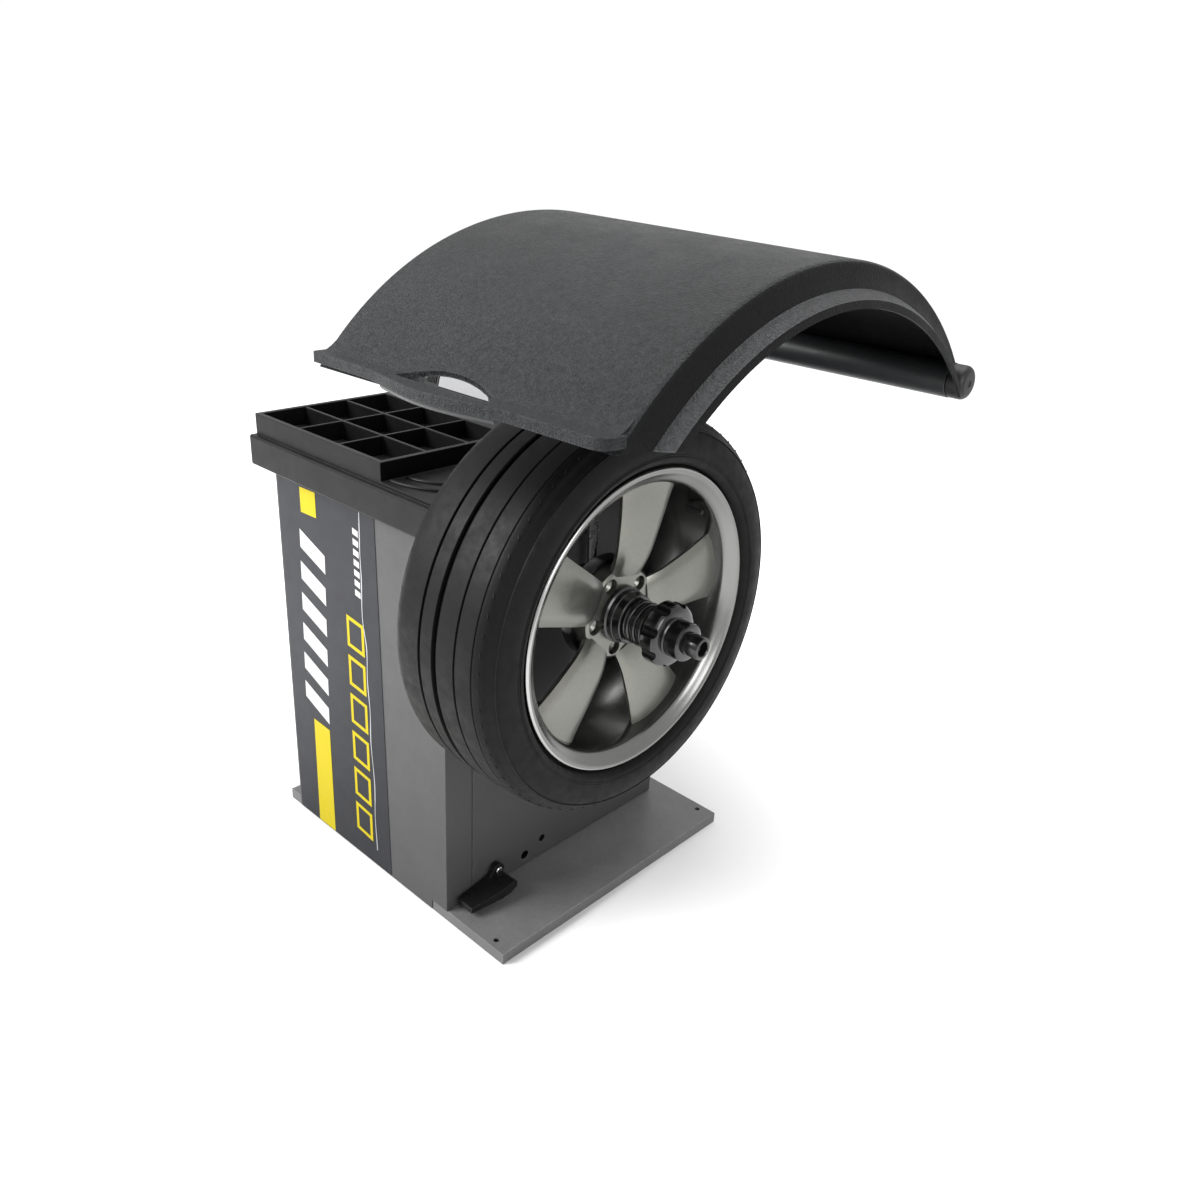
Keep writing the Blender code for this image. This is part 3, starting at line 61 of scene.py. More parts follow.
# ---- camera
def make_camera():
    """A camera off the front right corner, looking down on the machine."""
    yaw, pitch, roll = radians(41.85), radians(23.92), radians(3.33)
    right = Vector((cos(yaw), sin(yaw), 0.0))
    ahead = Vector((-sin(yaw) * cos(pitch), cos(yaw) * cos(pitch), -sin(pitch)))
    up = right.cross(ahead)
    side = right * cos(roll) + up * sin(roll)
    top = up * cos(roll) - right * sin(roll)
    data = bpy.data.cameras.new("camera")
    data.lens = 30.95
    data.sensor_width = 36.0
    data.shift_x = -0.0030
    data.shift_y = -0.00715
    data.clip_end = 60.0
    camera = bpy.data.objects.new("camera", data)
    turn = Matrix((side, top, -ahead)).transposed().to_4x4()
    spot = (1.35219, -1.22975, 1.32723)
    camera.matrix_world = Matrix.Translation(spot) @ turn
    bpy.context.scene.collection.objects.link(camera)
    bpy.context.scene.camera = camera


make_camera()


# ---- materials
def shader_node(tree, kind, inputs=None, **settings):
    node = tree.nodes.new(kind)
    for key, value in settings.items():
        setattr(node, key, value)
    set_inputs(node, inputs or {})
    return node


def set_inputs(node, values):
    for key, value in values.items():
        node.inputs[key].default_value = value


def scaled(colour, factor):
    return (*[min(1.0, c * factor) for c in colour[:3]], 1.0)


def feed(tree, node, *pairs):
    """Give a node's inputs, by index, each a socket or a value."""
    for index, value in pairs:
        if isinstance(value, bpy.types.NodeSocket):
            tree.links.new(value, node.inputs[index])
        else:
            node.inputs[index].default_value = value


def blend_colour(tree, factor, a, b, mode='MIX'):
    node = shader_node(tree, "ShaderNodeMix", data_type='RGBA', blend_type=mode)
    feed(tree, node, (0, factor), (6, a), (7, b))
    return node.outputs[2]


def spread(tree, socket, low, high, from_low=0.3, from_high=0.7):
    node = shader_node(tree, "ShaderNodeMapRange",
                       {"From Min": from_low, "From Max": from_high, "To Min": low, "To Max": high})
    tree.links.new(socket, node.inputs["Value"])
    return node.outputs["Result"]


def combine(tree, a, b, operation='MULTIPLY'):
    node = shader_node(tree, "ShaderNodeMath", operation=operation)
    feed(tree, node, (0, a), (1, b))
    return node.outputs[0]


def noise(tree, vector, scale, detail=4.0, rough=0.55):
    node = shader_node(tree, "ShaderNodeTexNoise",
                       {"Scale": scale, "Detail": detail, "Roughness": rough})
    tree.links.new(vector, node.inputs["Vector"])
    return node.outputs["Fac"]


def edge_wear_and_highlight(tree, vector, radius, amount):
    """Near one on rounded-over edges, broken up so that it comes and goes: partly edge wear, partly a
    painted highlight.
    """
    bevel = shader_node(tree, "ShaderNodeBevel", {"Radius": radius}, samples=4)
    geometry = tree.nodes.new("ShaderNodeNewGeometry")
    dot = shader_node(tree, "ShaderNodeVectorMath", operation='DOT_PRODUCT')
    feed(tree, dot, (0, bevel.outputs[0]), (1, geometry.outputs["Normal"]))
    edge = spread(tree, dot.outputs["Value"], amount, 0.0, 0.80, 0.985)
    broken = spread(tree, noise(tree, vector, 55.0, 5.0, 0.7), 0.15, 1.0, 0.38, 0.62)
    return combine(tree, edge, broken)


DUST = (0.34, 0.33, 0.31, 1.0)
COAT_ROUGH = 0.12


def surface(name, colour, rough, metallic=0.0, mottle=0.10, mottle_scale=7.0, speckle=0.06,
            rough_spread=0.06, pattern="noise", grain=(700.0, 0.0001, 0.4), wear_and_highlight=None, coat=0.0,
            specular=0.5, dust=0.0):
    """A painted, moulded or metal surface.

    grain is the bump's (scale, depth, strength); the lighter edges, partly wear and partly painted
    highlight, take (colour, radius, amount).
    """
    mat = bpy.data.materials.new(name)
    mat.use_nodes = True
    tree = mat.node_tree
    shader = tree.nodes["Principled BSDF"]
    where = tree.nodes.new("ShaderNodeTexCoord").outputs["Object"]
    broad = spread(tree, noise(tree, where, mottle_scale, 5.0), 0.0, 1.0)
    tone = blend_colour(tree, broad, scaled(colour, 1 - mottle), scaled(colour, 1 + mottle))
    fine = spread(tree, noise(tree, where, 160.0, 3.0, 0.7), 0.0, 1.0)
    dots = blend_colour(tree, fine, scaled((1, 1, 1), 1 - 2 * speckle), (1.0, 1.0, 1.0, 1.0))
    tone = blend_colour(tree, 1.0, tone, dots, 'MULTIPLY')
    if dust:
        tone = dusted(tree, where, tone, dust)
    # lighter rounded edges: partly wear, partly painted highlight
    if wear_and_highlight:
        worn_and_lit_colour, radius, amount = wear_and_highlight
        tone = blend_colour(tree, edge_wear_and_highlight(tree, where, radius, amount), tone, (*worn_and_lit_colour, 1.0))
    tree.links.new(tone, shader.inputs["Base Color"])
    patch = noise(tree, where, mottle_scale * 4, 5.0, 0.65)
    patchy = spread(tree, patch, rough - rough_spread, rough + rough_spread)
    tree.links.new(patchy, shader.inputs["Roughness"])
    set_inputs(shader, {"Metallic": metallic, "Specular IOR Level": specular})
    if coat:
        set_inputs(shader, {"Coat Weight": coat, "Coat Roughness": COAT_ROUGH})
    scale, depth, strength = grain
    bump = shader_node(tree, "ShaderNodeBump", {"Strength": strength, "Distance": depth})
    tree.links.new(grain_height(tree, where, pattern, scale), bump.inputs["Height"])
    tree.links.new(bump.outputs["Normal"], shader.inputs["Normal"])
    return mat


def dusted(tree, where, tone, amount):
    """The tone with patches of dust on what faces up."""
    split = tree.nodes.new("ShaderNodeSeparateXYZ")
    normal = tree.nodes.new("ShaderNodeNewGeometry")
    tree.links.new(normal.outputs["Normal"], split.inputs[0])
    faces_up = spread(tree, split.outputs["Z"], 0.0, amount, 0.55, 0.98)
    patchy = combine(tree, faces_up, spread(tree, noise(tree, where, 14.0, 6.0, 0.65), 0.25, 1.0))
    return blend_colour(tree, patchy, tone, DUST)


def grain_height(tree, place, kind, scale):
    if kind == "leather":
        cells = shader_node(tree, "ShaderNodeTexVoronoi", {"Scale": scale, "Randomness": 1.0},
                            feature='DISTANCE_TO_EDGE')
        warp = blend_colour(tree, 0.012, place, noise_colour(tree, place, scale * 0.35))
        tree.links.new(warp, cells.inputs["Vector"])
        creases = spread(tree, cells.outputs["Distance"], 0.0, 1.0, 0.0, 0.35)
        small = spread(tree, noise(tree, place, scale * 3.0, 3.0, 0.6), 0.0, 0.5)
        return combine(tree, creases, small, 'ADD')
    if kind == "turned":
        rings = shader_node(tree, "ShaderNodeTexWave", {"Scale": scale, "Distortion": 1.2, "Detail": 3.0},
                            bands_direction='X')
        tree.links.new(place, rings.inputs["Vector"])
        return rings.outputs["Fac"]
    return noise(tree, place, scale, 3.0, 0.6)


def noise_colour(tree, vector, scale):
    node = shader_node(tree, "ShaderNodeTexNoise", {"Scale": scale, "Detail": 2.0})
    tree.links.new(vector, node.inputs["Vector"])
    return node.outputs["Color"]


def glowing(name, colour, strength):
    mat = surface(name, colour, 0.3, speckle=0.02)
    set_inputs(mat.node_tree.nodes["Principled BSDF"],
               {"Emission Color": (*colour, 1.0), "Emission Strength": strength})
    return mat


M = {
    "cabinet": surface("cabinet_paint", (0.040, 0.040, 0.041), 0.50, mottle=0.06, speckle=0.06,
        grain=(520.0, 0.00025, 0.25), wear_and_highlight=((0.20, 0.20, 0.20), 0.0016, 0.75), specular=0.30),
    "base": surface("base_paint", (0.096, 0.096, 0.097), 0.40, mottle=0.12, speckle=0.08,
        grain=(420.0, 0.0003, 0.3), wear_and_highlight=((0.28, 0.28, 0.28), 0.0018, 0.85), specular=0.30, dust=0.04),
    "black_paint": surface("black_paint_fine", (0.007, 0.007, 0.0075), 0.42, grain=(600.0, 0.0002, 0.4),
        wear_and_highlight=((0.05, 0.05, 0.05), 0.0015, 0.5), specular=0.3),
    "tray": surface("tray_plastic", (0.0034, 0.0034, 0.0037), 0.42, mottle=0.18, speckle=0.12,
        grain=(900.0, 0.00018, 0.5), wear_and_highlight=((0.08, 0.08, 0.083), 0.0016, 0.9), specular=0.11, dust=0.03),
    "black_plastic": surface("black_plastic_fine", (0.005, 0.005, 0.0055), 0.45,
        grain=(1100.0, 0.00015, 0.4), wear_and_highlight=((0.04, 0.04, 0.04), 0.0012, 0.5), specular=0.3),
    "hood": surface("guard_grain", (0.0140, 0.0151, 0.0164), 0.50, mottle=0.24, mottle_scale=4.0,
        speckle=0.36, rough_spread=0.08, pattern="leather", grain=(230.0, 0.0009, 1.0),
        wear_and_highlight=((0.07, 0.073, 0.076), 0.003, 0.35), specular=0.17, dust=0.008),
    # darker copy of the guard material: painted shade on the side wall and the inside of the skin
    "hood_painted_shade": surface("guard_painted_shade", (0.0026, 0.0027, 0.0029), 0.50, mottle=0.20, mottle_scale=4.0,
        speckle=0.14, pattern="leather", grain=(230.0, 0.0006, 0.6), specular=0.09),
    # lighter copy of the guard material: painted highlight on the flare band
    "hood_painted_highlight": surface("guard_painted_highlight", (0.030, 0.031, 0.033), 0.44, mottle=0.20, mottle_scale=5.0,
        speckle=0.30, pattern="leather", grain=(230.0, 0.0009, 0.9),
        wear_and_highlight=((0.16, 0.165, 0.17), 0.002, 0.5), specular=0.25),
    "hood_smooth": surface("guard_edge", (0.0130, 0.0138, 0.0150), 0.42, mottle=0.12, speckle=0.10,
        grain=(650.0, 0.0002, 0.4), wear_and_highlight=((0.07, 0.073, 0.076), 0.0025, 0.4), specular=0.3),
    "tyre": surface("tyre_rubber_fine", (0.0026, 0.0026, 0.0025), 0.55, mottle=0.22, mottle_scale=11.0,
        speckle=0.22, rough_spread=0.10, grain=(420.0, 0.00035, 0.45), specular=0.11),
    "chrome": surface("polished_chrome", (0.33, 0.33, 0.325), 0.20, 1.0, mottle=0.06, speckle=0.02,
        rough_spread=0.05, pattern="turned", grain=(260.0, 0.00002, 0.10)),
    "rim_satin": surface("rim_satin_alloy", (0.165, 0.165, 0.160), 0.24, 1.0, mottle=0.04, speckle=0.02,
        rough_spread=0.015, pattern="turned", grain=(260.0, 0.00002, 0.12)),
    "alloy": surface("satin_alloy", (0.150, 0.150, 0.134), 0.34, 0.85, mottle=0.10, speckle=0.05,
        rough_spread=0.08, grain=(900.0, 0.00006, 0.3), coat=0.25),
    "black_steel": surface("black_oxide", (0.013, 0.0135, 0.0135), 0.20, 0.55, mottle=0.20,
        speckle=0.10, rough_spread=0.07, pattern="turned", grain=(420.0, 0.00004, 0.35),
        wear_and_highlight=((0.20, 0.20, 0.20), 0.0012, 0.55), coat=0.35),
    "cup": surface("cup_plastic", (0.006, 0.006, 0.0065), 0.24, mottle=0.12, grain=(700.0, 0.0001, 0.4),
        wear_and_highlight=((0.12, 0.12, 0.12), 0.001, 0.5), coat=0.25, specular=0.4),
    "bare_steel": surface("machined_steel", (0.36, 0.36, 0.36), 0.28, 0.95, mottle=0.07, speckle=0.06,
        pattern="turned", grain=(500.0, 0.00004, 0.4)),
    "rubber": surface("black_rubber", (0.008, 0.008, 0.008), 0.62, mottle=0.15, speckle=0.12,
        grain=(900.0, 0.0003, 0.4), specular=0.2),
    "pedal": surface("pedal_plastic", (0.0045, 0.0045, 0.0045), 0.30, mottle=0.15, speckle=0.10,
        grain=(700.0, 0.0002, 0.4), wear_and_highlight=((0.06, 0.06, 0.06), 0.0015, 0.5), specular=0.3),
    "panel": surface("panel_overlay", (0.22, 0.22, 0.225), 0.42, mottle=0.03, speckle=0.03,
        grain=(1500.0, 0.00008, 0.4)),
    "vinyl": surface("slate_vinyl", (0.0115, 0.0120, 0.0150), 0.40, mottle=0.06, speckle=0.04,
        rough_spread=0.05, grain=(90.0, 0.0001, 0.2), specular=0.12),
    "yellow": surface("yellow_vinyl", (0.335, 0.268, 0.0), 0.42, mottle=0.03, speckle=0.02,
        grain=(120.0, 0.0001, 0.15), specular=0.10),
    "white": surface("white_vinyl", (0.35, 0.35, 0.35), 0.42, mottle=0.02, speckle=0.02,
        grain=(120.0, 0.0001, 0.15), specular=0.10),
    "silver": surface("silver_vinyl", (0.27, 0.275, 0.285), 0.34, 0.4, mottle=0.06, speckle=0.04,
        grain=(200.0, 0.0001, 0.4)),
    "window": surface("smoked_window", (0.005, 0.0025, 0.0025), 0.10, mottle=0.05, speckle=0.02,
        rough_spread=0.03, grain=(60.0, 0.00005, 0.4), coat=0.3, specular=0.4),
    "digit": glowing("lit_digit", (0.95, 0.08, 0.04), 1.2),
    "key": surface("key_rubber", (0.020, 0.021, 0.025), 0.55, grain=(1400.0, 0.0001, 0.4)),
    "key_green": surface("key_rubber_green", (0.015, 0.13, 0.03), 0.52, grain=(1400.0, 0.0001, 0.4)),
    "key_red": surface("key_rubber_red", (0.24, 0.018, 0.015), 0.52, grain=(1400.0, 0.0001, 0.4)),
    "rocker": surface("rocker_plastic", (0.20, 0.012, 0.012), 0.28, grain=(900.0, 0.00008, 0.4)),
    "board": surface("board_mask", (0.012, 0.07, 0.03), 0.4, grain=(300.0, 0.0001, 0.4)),
}

SLOT_LOOK = {
    "grey_paint": "cabinet", "black_paint": "black_paint", "black_plastic": "black_plastic",
    "guard_plastic": "hood", "panel_plastic": "panel", "vinyl": "vinyl", "bare_steel": "bare_steel",
    "black_steel": "black_steel", "chrome": "chrome", "tyre_rubber": "tyre", "rubber": "rubber",
    "display": "window", "board": "board", "key": "key", "key_green": "key_green", "key_red": "key_red",
    "rocker_red": "rocker",
}


# ---- mesh building
def to_object(name, bm):
    bmesh.ops.recalc_face_normals(bm, faces=bm.faces)
    mesh = bpy.data.meshes.new(name)
    bm.to_mesh(mesh)
    bm.free()
    obj = bpy.data.objects.new(name, mesh)
    bpy.context.scene.collection.objects.link(obj)
    return obj


def dress(obj, look, body, nodes=(), slot=None, bevel=0.0, segments=3, angle=35):
    """Finish a piece: material, rounded or smoothed edges, and the body that it rides on."""
    obj.data.materials.clear()
    obj.data.materials.append(M[look])
    if obj.type == 'MESH':
        obj.data.shade_smooth()
        if bevel:
            mod = obj.modifiers.new("edges", 'BEVEL')
            mod.width = bevel
            mod.segments = segments
            mod.limit_method = 'ANGLE'
            mod.angle_limit = radians(angle)
            mod.harden_normals = True
            mod.use_clamp_overlap = True
        else:
            obj.data.set_sharp_from_angle(angle=radians(angle))
    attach(obj, body)
    if nodes:
        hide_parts(*nodes)
    return obj


def stand_in(obj, look, node, **options):
    """Finish a piece that takes a CAD node's place."""
    return dress(obj, look, BODY_OF[node], (node,), SLOT_OF[node], **options)


def refined(node, look=None, bevel=0.0012, angle=35, segments=2):
    """The CAD node's own shape with its edges rounded over."""
    bm = bmesh.new()
    bm.from_mesh(NODES[node].data)
    bmesh.ops.remove_doubles(bm, verts=bm.verts, dist=0.00001)
    bmesh.ops.dissolve_limit(bm, angle_limit=radians(0.8), verts=bm.verts, edges=bm.edges)
    obj = to_object("fine_" + node, bm)
    stand_in(obj, look or SLOT_LOOK[SLOT_OF[node]], node, bevel=bevel, angle=angle, segments=segments)
    if not bevel:
        return obj
    obj.modifiers["edges"].harden_normals = False
    weights = obj.modifiers.new("flat_faces", 'WEIGHTED_NORMAL')
    weights.weight = 100
    weights.keep_sharp = True
    return obj


def block(name, low, high):
    size = [b - a for a, b in zip(low, high)]
    middle = [(a + b) / 2 for a, b in zip(low, high)]
    bm = bmesh.new()
    place = Matrix.Translation(middle) @ Matrix.Diagonal((*size, 1.0))
    bmesh.ops.create_cube(bm, size=1.0, matrix=place)
    return to_object(name, bm)


def slab(name, outline, low, high, normal='X'):
    """A closed outline raised between two planes: (y, z) points along X, (x, y) along Z, (x, z) along Y."""
    def spot(u, v, w):
        if normal == 'X':
            return (w, u, v)
        return (u, v, w) if normal == 'Z' else (u, w, v)
    bm = bmesh.new()
    a = [bm.verts.new(spot(u, v, low)) for u, v in outline]
    b = [bm.verts.new(spot(u, v, high)) for u, v in outline]
    bm.faces.new(a)
    bm.faces.new(list(reversed(b)))
    count = len(outline)
    for i in range(count):
        j = (i + 1) % count
        bm.faces.new((a[j], a[i], b[i], b[j]))
    return to_object(name, bm)


def lathe(name, profile, segments=96, y=None, z=None, closed=False):
    """Turn (x, radius) points about an axis along X."""
    y = AXIS_Y if y is None else y
    z = AXIS_Z if z is None else z
    bm = bmesh.new()
    rings = []
    for x, r in profile:
        if r < 1e-6:
            rings.append([bm.verts.new((x, y, z))])
        else:
            turns = [2 * pi * i / segments for i in range(segments)]
            rings.append([bm.verts.new((x, y + r * cos(a), z + r * sin(a))) for a in turns])
    pairs = list(zip(rings, rings[1:]))
    if closed:
        pairs.append((rings[-1], rings[0]))
    for a, b in pairs:
        for i in range(segments):
            j = (i + 1) % segments
            if len(a) == 1:
                bm.faces.new((a[0], b[i], b[j]))
            elif len(b) == 1:
                bm.faces.new((a[i], a[j], b[0]))
            else:
                bm.faces.new((a[i], a[j], b[j], b[i]))
    return to_object(name, bm)


def tube(name, points, radius, resolution=5):
    curve = bpy.data.curves.new(name, 'CURVE')
    curve.dimensions = '3D'
    curve.bevel_depth = radius
    curve.bevel_resolution = resolution
    curve.use_fill_caps = True
    spline = curve.splines.new('POLY')
    spline.points.add(len(points) - 1)
    for point, co in zip(spline.points, points):
        point.co = (*co, 1.0)
    spline.use_smooth = True
    obj = bpy.data.objects.new(name, curve)
    bpy.context.scene.collection.objects.link(obj)
    return obj


def arc(cu, cv, radius, start, end, count=8):
    steps = [radians(start + (end - start) * i / count) for i in range(count + 1)]
    return [(cu + radius * cos(a), cv + radius * sin(a)) for a in steps]


def skin_rows(bm, rows):
    """Faces between each closed row of vertices and the next."""
    count = len(rows[0])
    for a, b in zip(rows, rows[1:]):
        for i in range(count):
            j = (i + 1) % count
            bm.faces.new((a[i], a[j], b[j], b[i]))
    return count


def cut(obj, cutter):
    """Take the cutter out of a piece, and drop the cutter."""
    mod = obj.modifiers.new("cut", 'BOOLEAN')
    mod.operation = 'DIFFERENCE'
    mod.solver = 'EXACT'
    mod.object = cutter
    bpy.context.view_layer.update()
    graph = bpy.context.evaluated_depsgraph_get()
    mesh = bpy.data.meshes.new_from_object(obj.evaluated_get(graph))
    obj.modifiers.clear()
    obj.data = mesh
    bpy.data.objects.remove(cutter, do_unlink=True)
    return obj


def six_sided(name, corners):
    """A solid from eight corners, ordered by first, second and then third direction."""
    bm = bmesh.new()
    verts = [bm.verts.new(co) for co in corners]
    for face in ((0, 1, 3, 2), (4, 6, 7, 5), (0, 2, 6, 4), (1, 5, 7, 3), (0, 4, 5, 1), (2, 3, 7, 6)):
        bm.faces.new([verts[i] for i in face])
    return to_object(name, bm)


def coil(x0, x1, y, z, radius, turns, count=36):
    """Points of a helix about an axis along X."""
    total = turns * count
    return [(x0 + (x1 - x0) * i / total, y + radius * cos(2 * pi * i / count),
             z + radius * sin(2 * pi * i / count)) for i in range(total + 1)]


def merged(name, objs):
    """One object from several separate ones."""
    bm = bmesh.new()
    for obj in objs:
        bm.from_mesh(obj.data)
        bpy.data.objects.remove(obj, do_unlink=True)
    return to_object(name, bm)


# ---- wheel guard
HOOD_R, HOOD_Y, HOOD_Z = 0.4995, -0.119, 0.7075
HOOD_W = 0.508
HOOD_RIGHT = HOOD_LEFT + HOOD_W
HOOD_FOOT = 0.3295
HOOD_LEVEL = HOOD_Z + HOOD_FOOT
HOOD_WALL = 0.0035
HOOD_FULL = 0.0145
FLARE_X = HOOD_RIGHT + 0.027
SLEEVE_R, TUBE_R, CAP_R = 0.0258, 0.021, 0.025
LIP_LIFT = 0.0065
LIP_Z = HOOD_LEVEL + LIP_LIFT
LIP_T = 0.013
LIP_FRONT = HOOD_Y - sqrt(HOOD_R ** 2 - (HOOD_FOOT + LIP_LIFT) ** 2) - 0.026
GRIP_X = HOOD_LEFT + 0.2455
HAND_W, HAND_D = 0.167, 0.034
HAND_CORNER = 0.006
HAND_STEPS = 24
FIT = 0.0003            # between a sleeve and what it turns on


def hood_section():
    """Skin across the guard's width as (x, radius), with its corners rounded."""
    c = 0.008
    bend = [pi / 2 * i / 6 for i in range(7)]
    left = [(HOOD_LEFT + c - c * cos(a), HOOD_R - c + c * sin(a)) for a in bend]
    top = [(HOOD_LEFT + c + (HOOD_W - 2 * c) * i / 12, HOOD_R) for i in range(1, 12)]
    right = [(HOOD_RIGHT - c + c * sin(a), HOOD_R - c + c * cos(a)) for a in bend]
    foot_x, foot_r = HOOD_RIGHT + 0.009, HOOD_R - 0.0335
    flare_x, flare_r = foot_x + 0.018, foot_r - 0.008
    wall = [(HOOD_RIGHT + 0.002, HOOD_R - 0.016), (HOOD_RIGHT + 0.005, HOOD_R - 0.024),
            (foot_x - 0.0015, foot_r + 0.005), (foot_x, foot_r + 0.0015), (foot_x + 0.003, foot_r)]
    flare = [(foot_x + 0.009, flare_r + 0.0050), (flare_x - 0.004, flare_r + 0.0007),
             (flare_x - 0.001, flare_r - 0.0012), (flare_x, flare_r - 0.004),
             (flare_x + 0.001, flare_r - 0.011)]
    edge = [(HOOD_LEFT, HOOD_R - 0.020), (HOOD_LEFT, HOOD_R - 0.012)]
    return [*edge, *left, *top, *right, *wall, *flare]


def hood_fullness(x, u):
    """Extra radius towards the cabinet side, where u runs from the tube to the front lip."""
    across = min(1.0, max(0.0, (HOOD_RIGHT - x) / HOOD_W))
    along = sin(pi / 2 * min(1.0, u / 0.35)) * (1 - 0.3 * max(0.0, (u - 0.7) / 0.3) ** 2)
    return HOOD_FULL * across * along


def inset_line(points, distance):
    """The line moved to its inner side by a distance."""
    moved = []
    for i, (x, r) in enumerate(points):
        a = points[max(i - 1, 0)]
        b = points[min(i + 1, len(points) - 1)]
        dx, dr = b[0] - a[0], b[1] - a[1]
        length = hypot(dx, dr)
        moved.append((x + distance * dr / length, r - distance * dx / length))
    return moved


def hood_skin():
    """The curved skin, swept about the guard's own axis from the tube to the lip."""
    outer = hood_section()
    loop = outer + inset_line(outer, HOOD_WALL)[::-1]
    start = atan2(TUBE_Z - HOOD_Z, TUBE_Y - HOOD_Y) + 0.003
    steps = 120
    bm = bmesh.new()
    rows = []
    for i in range(steps + 1):
        row = []
        for x, r in loop:
            end = pi - asin(HOOD_FOOT / (r + hood_fullness(x, 1.0)))
            a = start + (end - start) * i / steps
            r += hood_fullness(x, i / steps)
            row.append(bm.verts.new((x, HOOD_Y + r * cos(a), HOOD_Z + r * sin(a))))
        rows.append(row)
    count = skin_rows(bm, rows)
    for row in (rows[0], rows[-1]):
        for i in range(len(outer) - 1):
            bm.faces.new((row[i], row[i + 1], row[count - 2 - i], row[count - 1 - i]))
    return to_object("hood_skin", bm)


def make_hood():
    skin = hood_skin()
    notch_r = CAP_R + 0.002
    x0, x1 = HOOD_RIGHT + 0.002, FLARE_X + 0.008
    cut(skin, lathe("notch", [(x0, 0.0), (x0, notch_r), (x1, notch_r), (x1, 0.0)], 48, TUBE_Y, TUBE_Z))
    cut(skin, hand_cutter("hole_a"))
    stand_in(skin, "hood", "wheel_hood", angle=30)
    # A darker copy of the guard material paints shade on the side wall and inside faces; a lighter copy
    # paints a highlight on the flare.
    for look in ("hood_painted_shade", "hood_painted_highlight"):
        skin.data.materials.append(M[look])
    for face in skin.data.polygons:
        outward = Vector((0.0, face.center.y - HOOD_Y, face.center.z - HOOD_Z)).normalized()
        if face.normal.x > 0.75 or face.normal.dot(outward) < -0.2:
            face.material_index = 1
        elif face.center.x > HOOD_RIGHT + 0.0085:
            face.material_index = 2
    make_lip()
    bore = TUBE_R + FIT
    sleeve = lathe("hood_sleeve", [(HOOD_LEFT, bore), (HOOD_LEFT, SLEEVE_R),
                                   (HOOD_RIGHT + 0.002, SLEEVE_R), (HOOD_RIGHT + 0.002, bore)],
                   64, TUBE_Y, TUBE_Z, True)
    dress(sleeve, "hood_smooth", "hood", slot="guard_plastic", bevel=0.0012)


def make_lip():
    """The flat front lip, the roll under its hand hold and the fillet behind it."""
    lip = slab("hood_lip", lip_outline(), LIP_Z, LIP_Z + LIP_T, 'Z')
    cut(lip, hand_cutter("hole_b"))
    dress(lip, "hood", "hood", slot="guard_plastic", bevel=0.0028, segments=4, angle=50)
    roll = [(x, y + 0.010, LIP_Z - 0.002) for x, y in lip_bulge(0.78, 18)]
    dress(tube("hood_grip_roll", roll, 0.0062, 4), "hood_smooth", "hood", slot="guard_plastic")
    fillet = slab("hood_crease", crease_outline(), HOOD_LEFT + 0.004, HOOD_RIGHT - 0.006, 'X')
    reach = (LIP_Z + LIP_T - HOOD_Z) ** 2
    for v in fillet.data.vertices:
        fuller = HOOD_R + hood_fullness(v.co.x, 1.0)
        v.co.y -= sqrt(fuller ** 2 - reach) - sqrt(HOOD_R ** 2 - reach)
    cut(fillet, hand_cutter("hole_c"))
    dress(fillet, "hood", "hood", slot="guard_plastic", angle=40)


def crease_outline():
    """Small fillet where the curved skin meets the flat lip, as (y, z)."""
    top = LIP_Z + LIP_T
    reach = top - HOOD_Z
    y_skin = HOOD_Y - sqrt(HOOD_R ** 2 - reach ** 2)
    high = top + 0.012
    y_high = HOOD_Y - sqrt(HOOD_R ** 2 - (high - HOOD_Z) ** 2)
    bend = [(y_skin - 0.011, top - 0.0006), (y_skin - 0.004, top + 0.0015),
            (y_skin + 0.003, top + 0.0055), (y_high - 0.0002, high)]
    return [*bend, (y_high + 0.003, high - 0.002), (y_skin + 0.003, top - 0.002),
            (y_skin - 0.010, top - 0.002)]


def lip_bulge(share=1.0, count=24):
    """The lip's front edge, swollen over the hand hold, as (x, y)."""
    reach = (HAND_W / 2 + 0.045) * share
    points = []
    for i in range(count + 1):
        t = -1 + 2 * i / count
        s = t * share
        points.append((GRIP_X + reach * t, LIP_FRONT - 0.020 * (0.5 + 0.5 * cos(pi * s)) ** 0.7))
    return points


def lip_outline():
    rear = LIP_FRONT + 0.033
    r = 0.022
    corner = arc(HOOD_RIGHT - r, LIP_FRONT + r, r, 270, 360, 10)
    left = arc(HOOD_LEFT + 0.006, LIP_FRONT + 0.006, 0.006, 180, 270, 4)
    return [(HOOD_LEFT, rear), *left, *lip_bulge()[1:-1], *corner, (HOOD_RIGHT, rear)]


def hand_cutter(name):
    """The hand hold: straight in front with small corners, half an ellipse behind."""
    c = HAND_CORNER
    front = LIP_FRONT + 0.006
    half = HAND_W / 2
    outline = arc(GRIP_X - half + c, front + c, c, 180, 270, 4)
    outline += arc(GRIP_X + half - c, front + c, c, 270, 360, 4)
    for i in range(1, HAND_STEPS):
        t = 1 - 2 * i / HAND_STEPS
        outline.append((GRIP_X + half * t, front + c + (HAND_D - c) * (1 - t * t) ** 0.5))
    return slab(name, outline, HOOD_LEVEL - 0.03, HOOD_LEVEL + 0.08, 'Z')


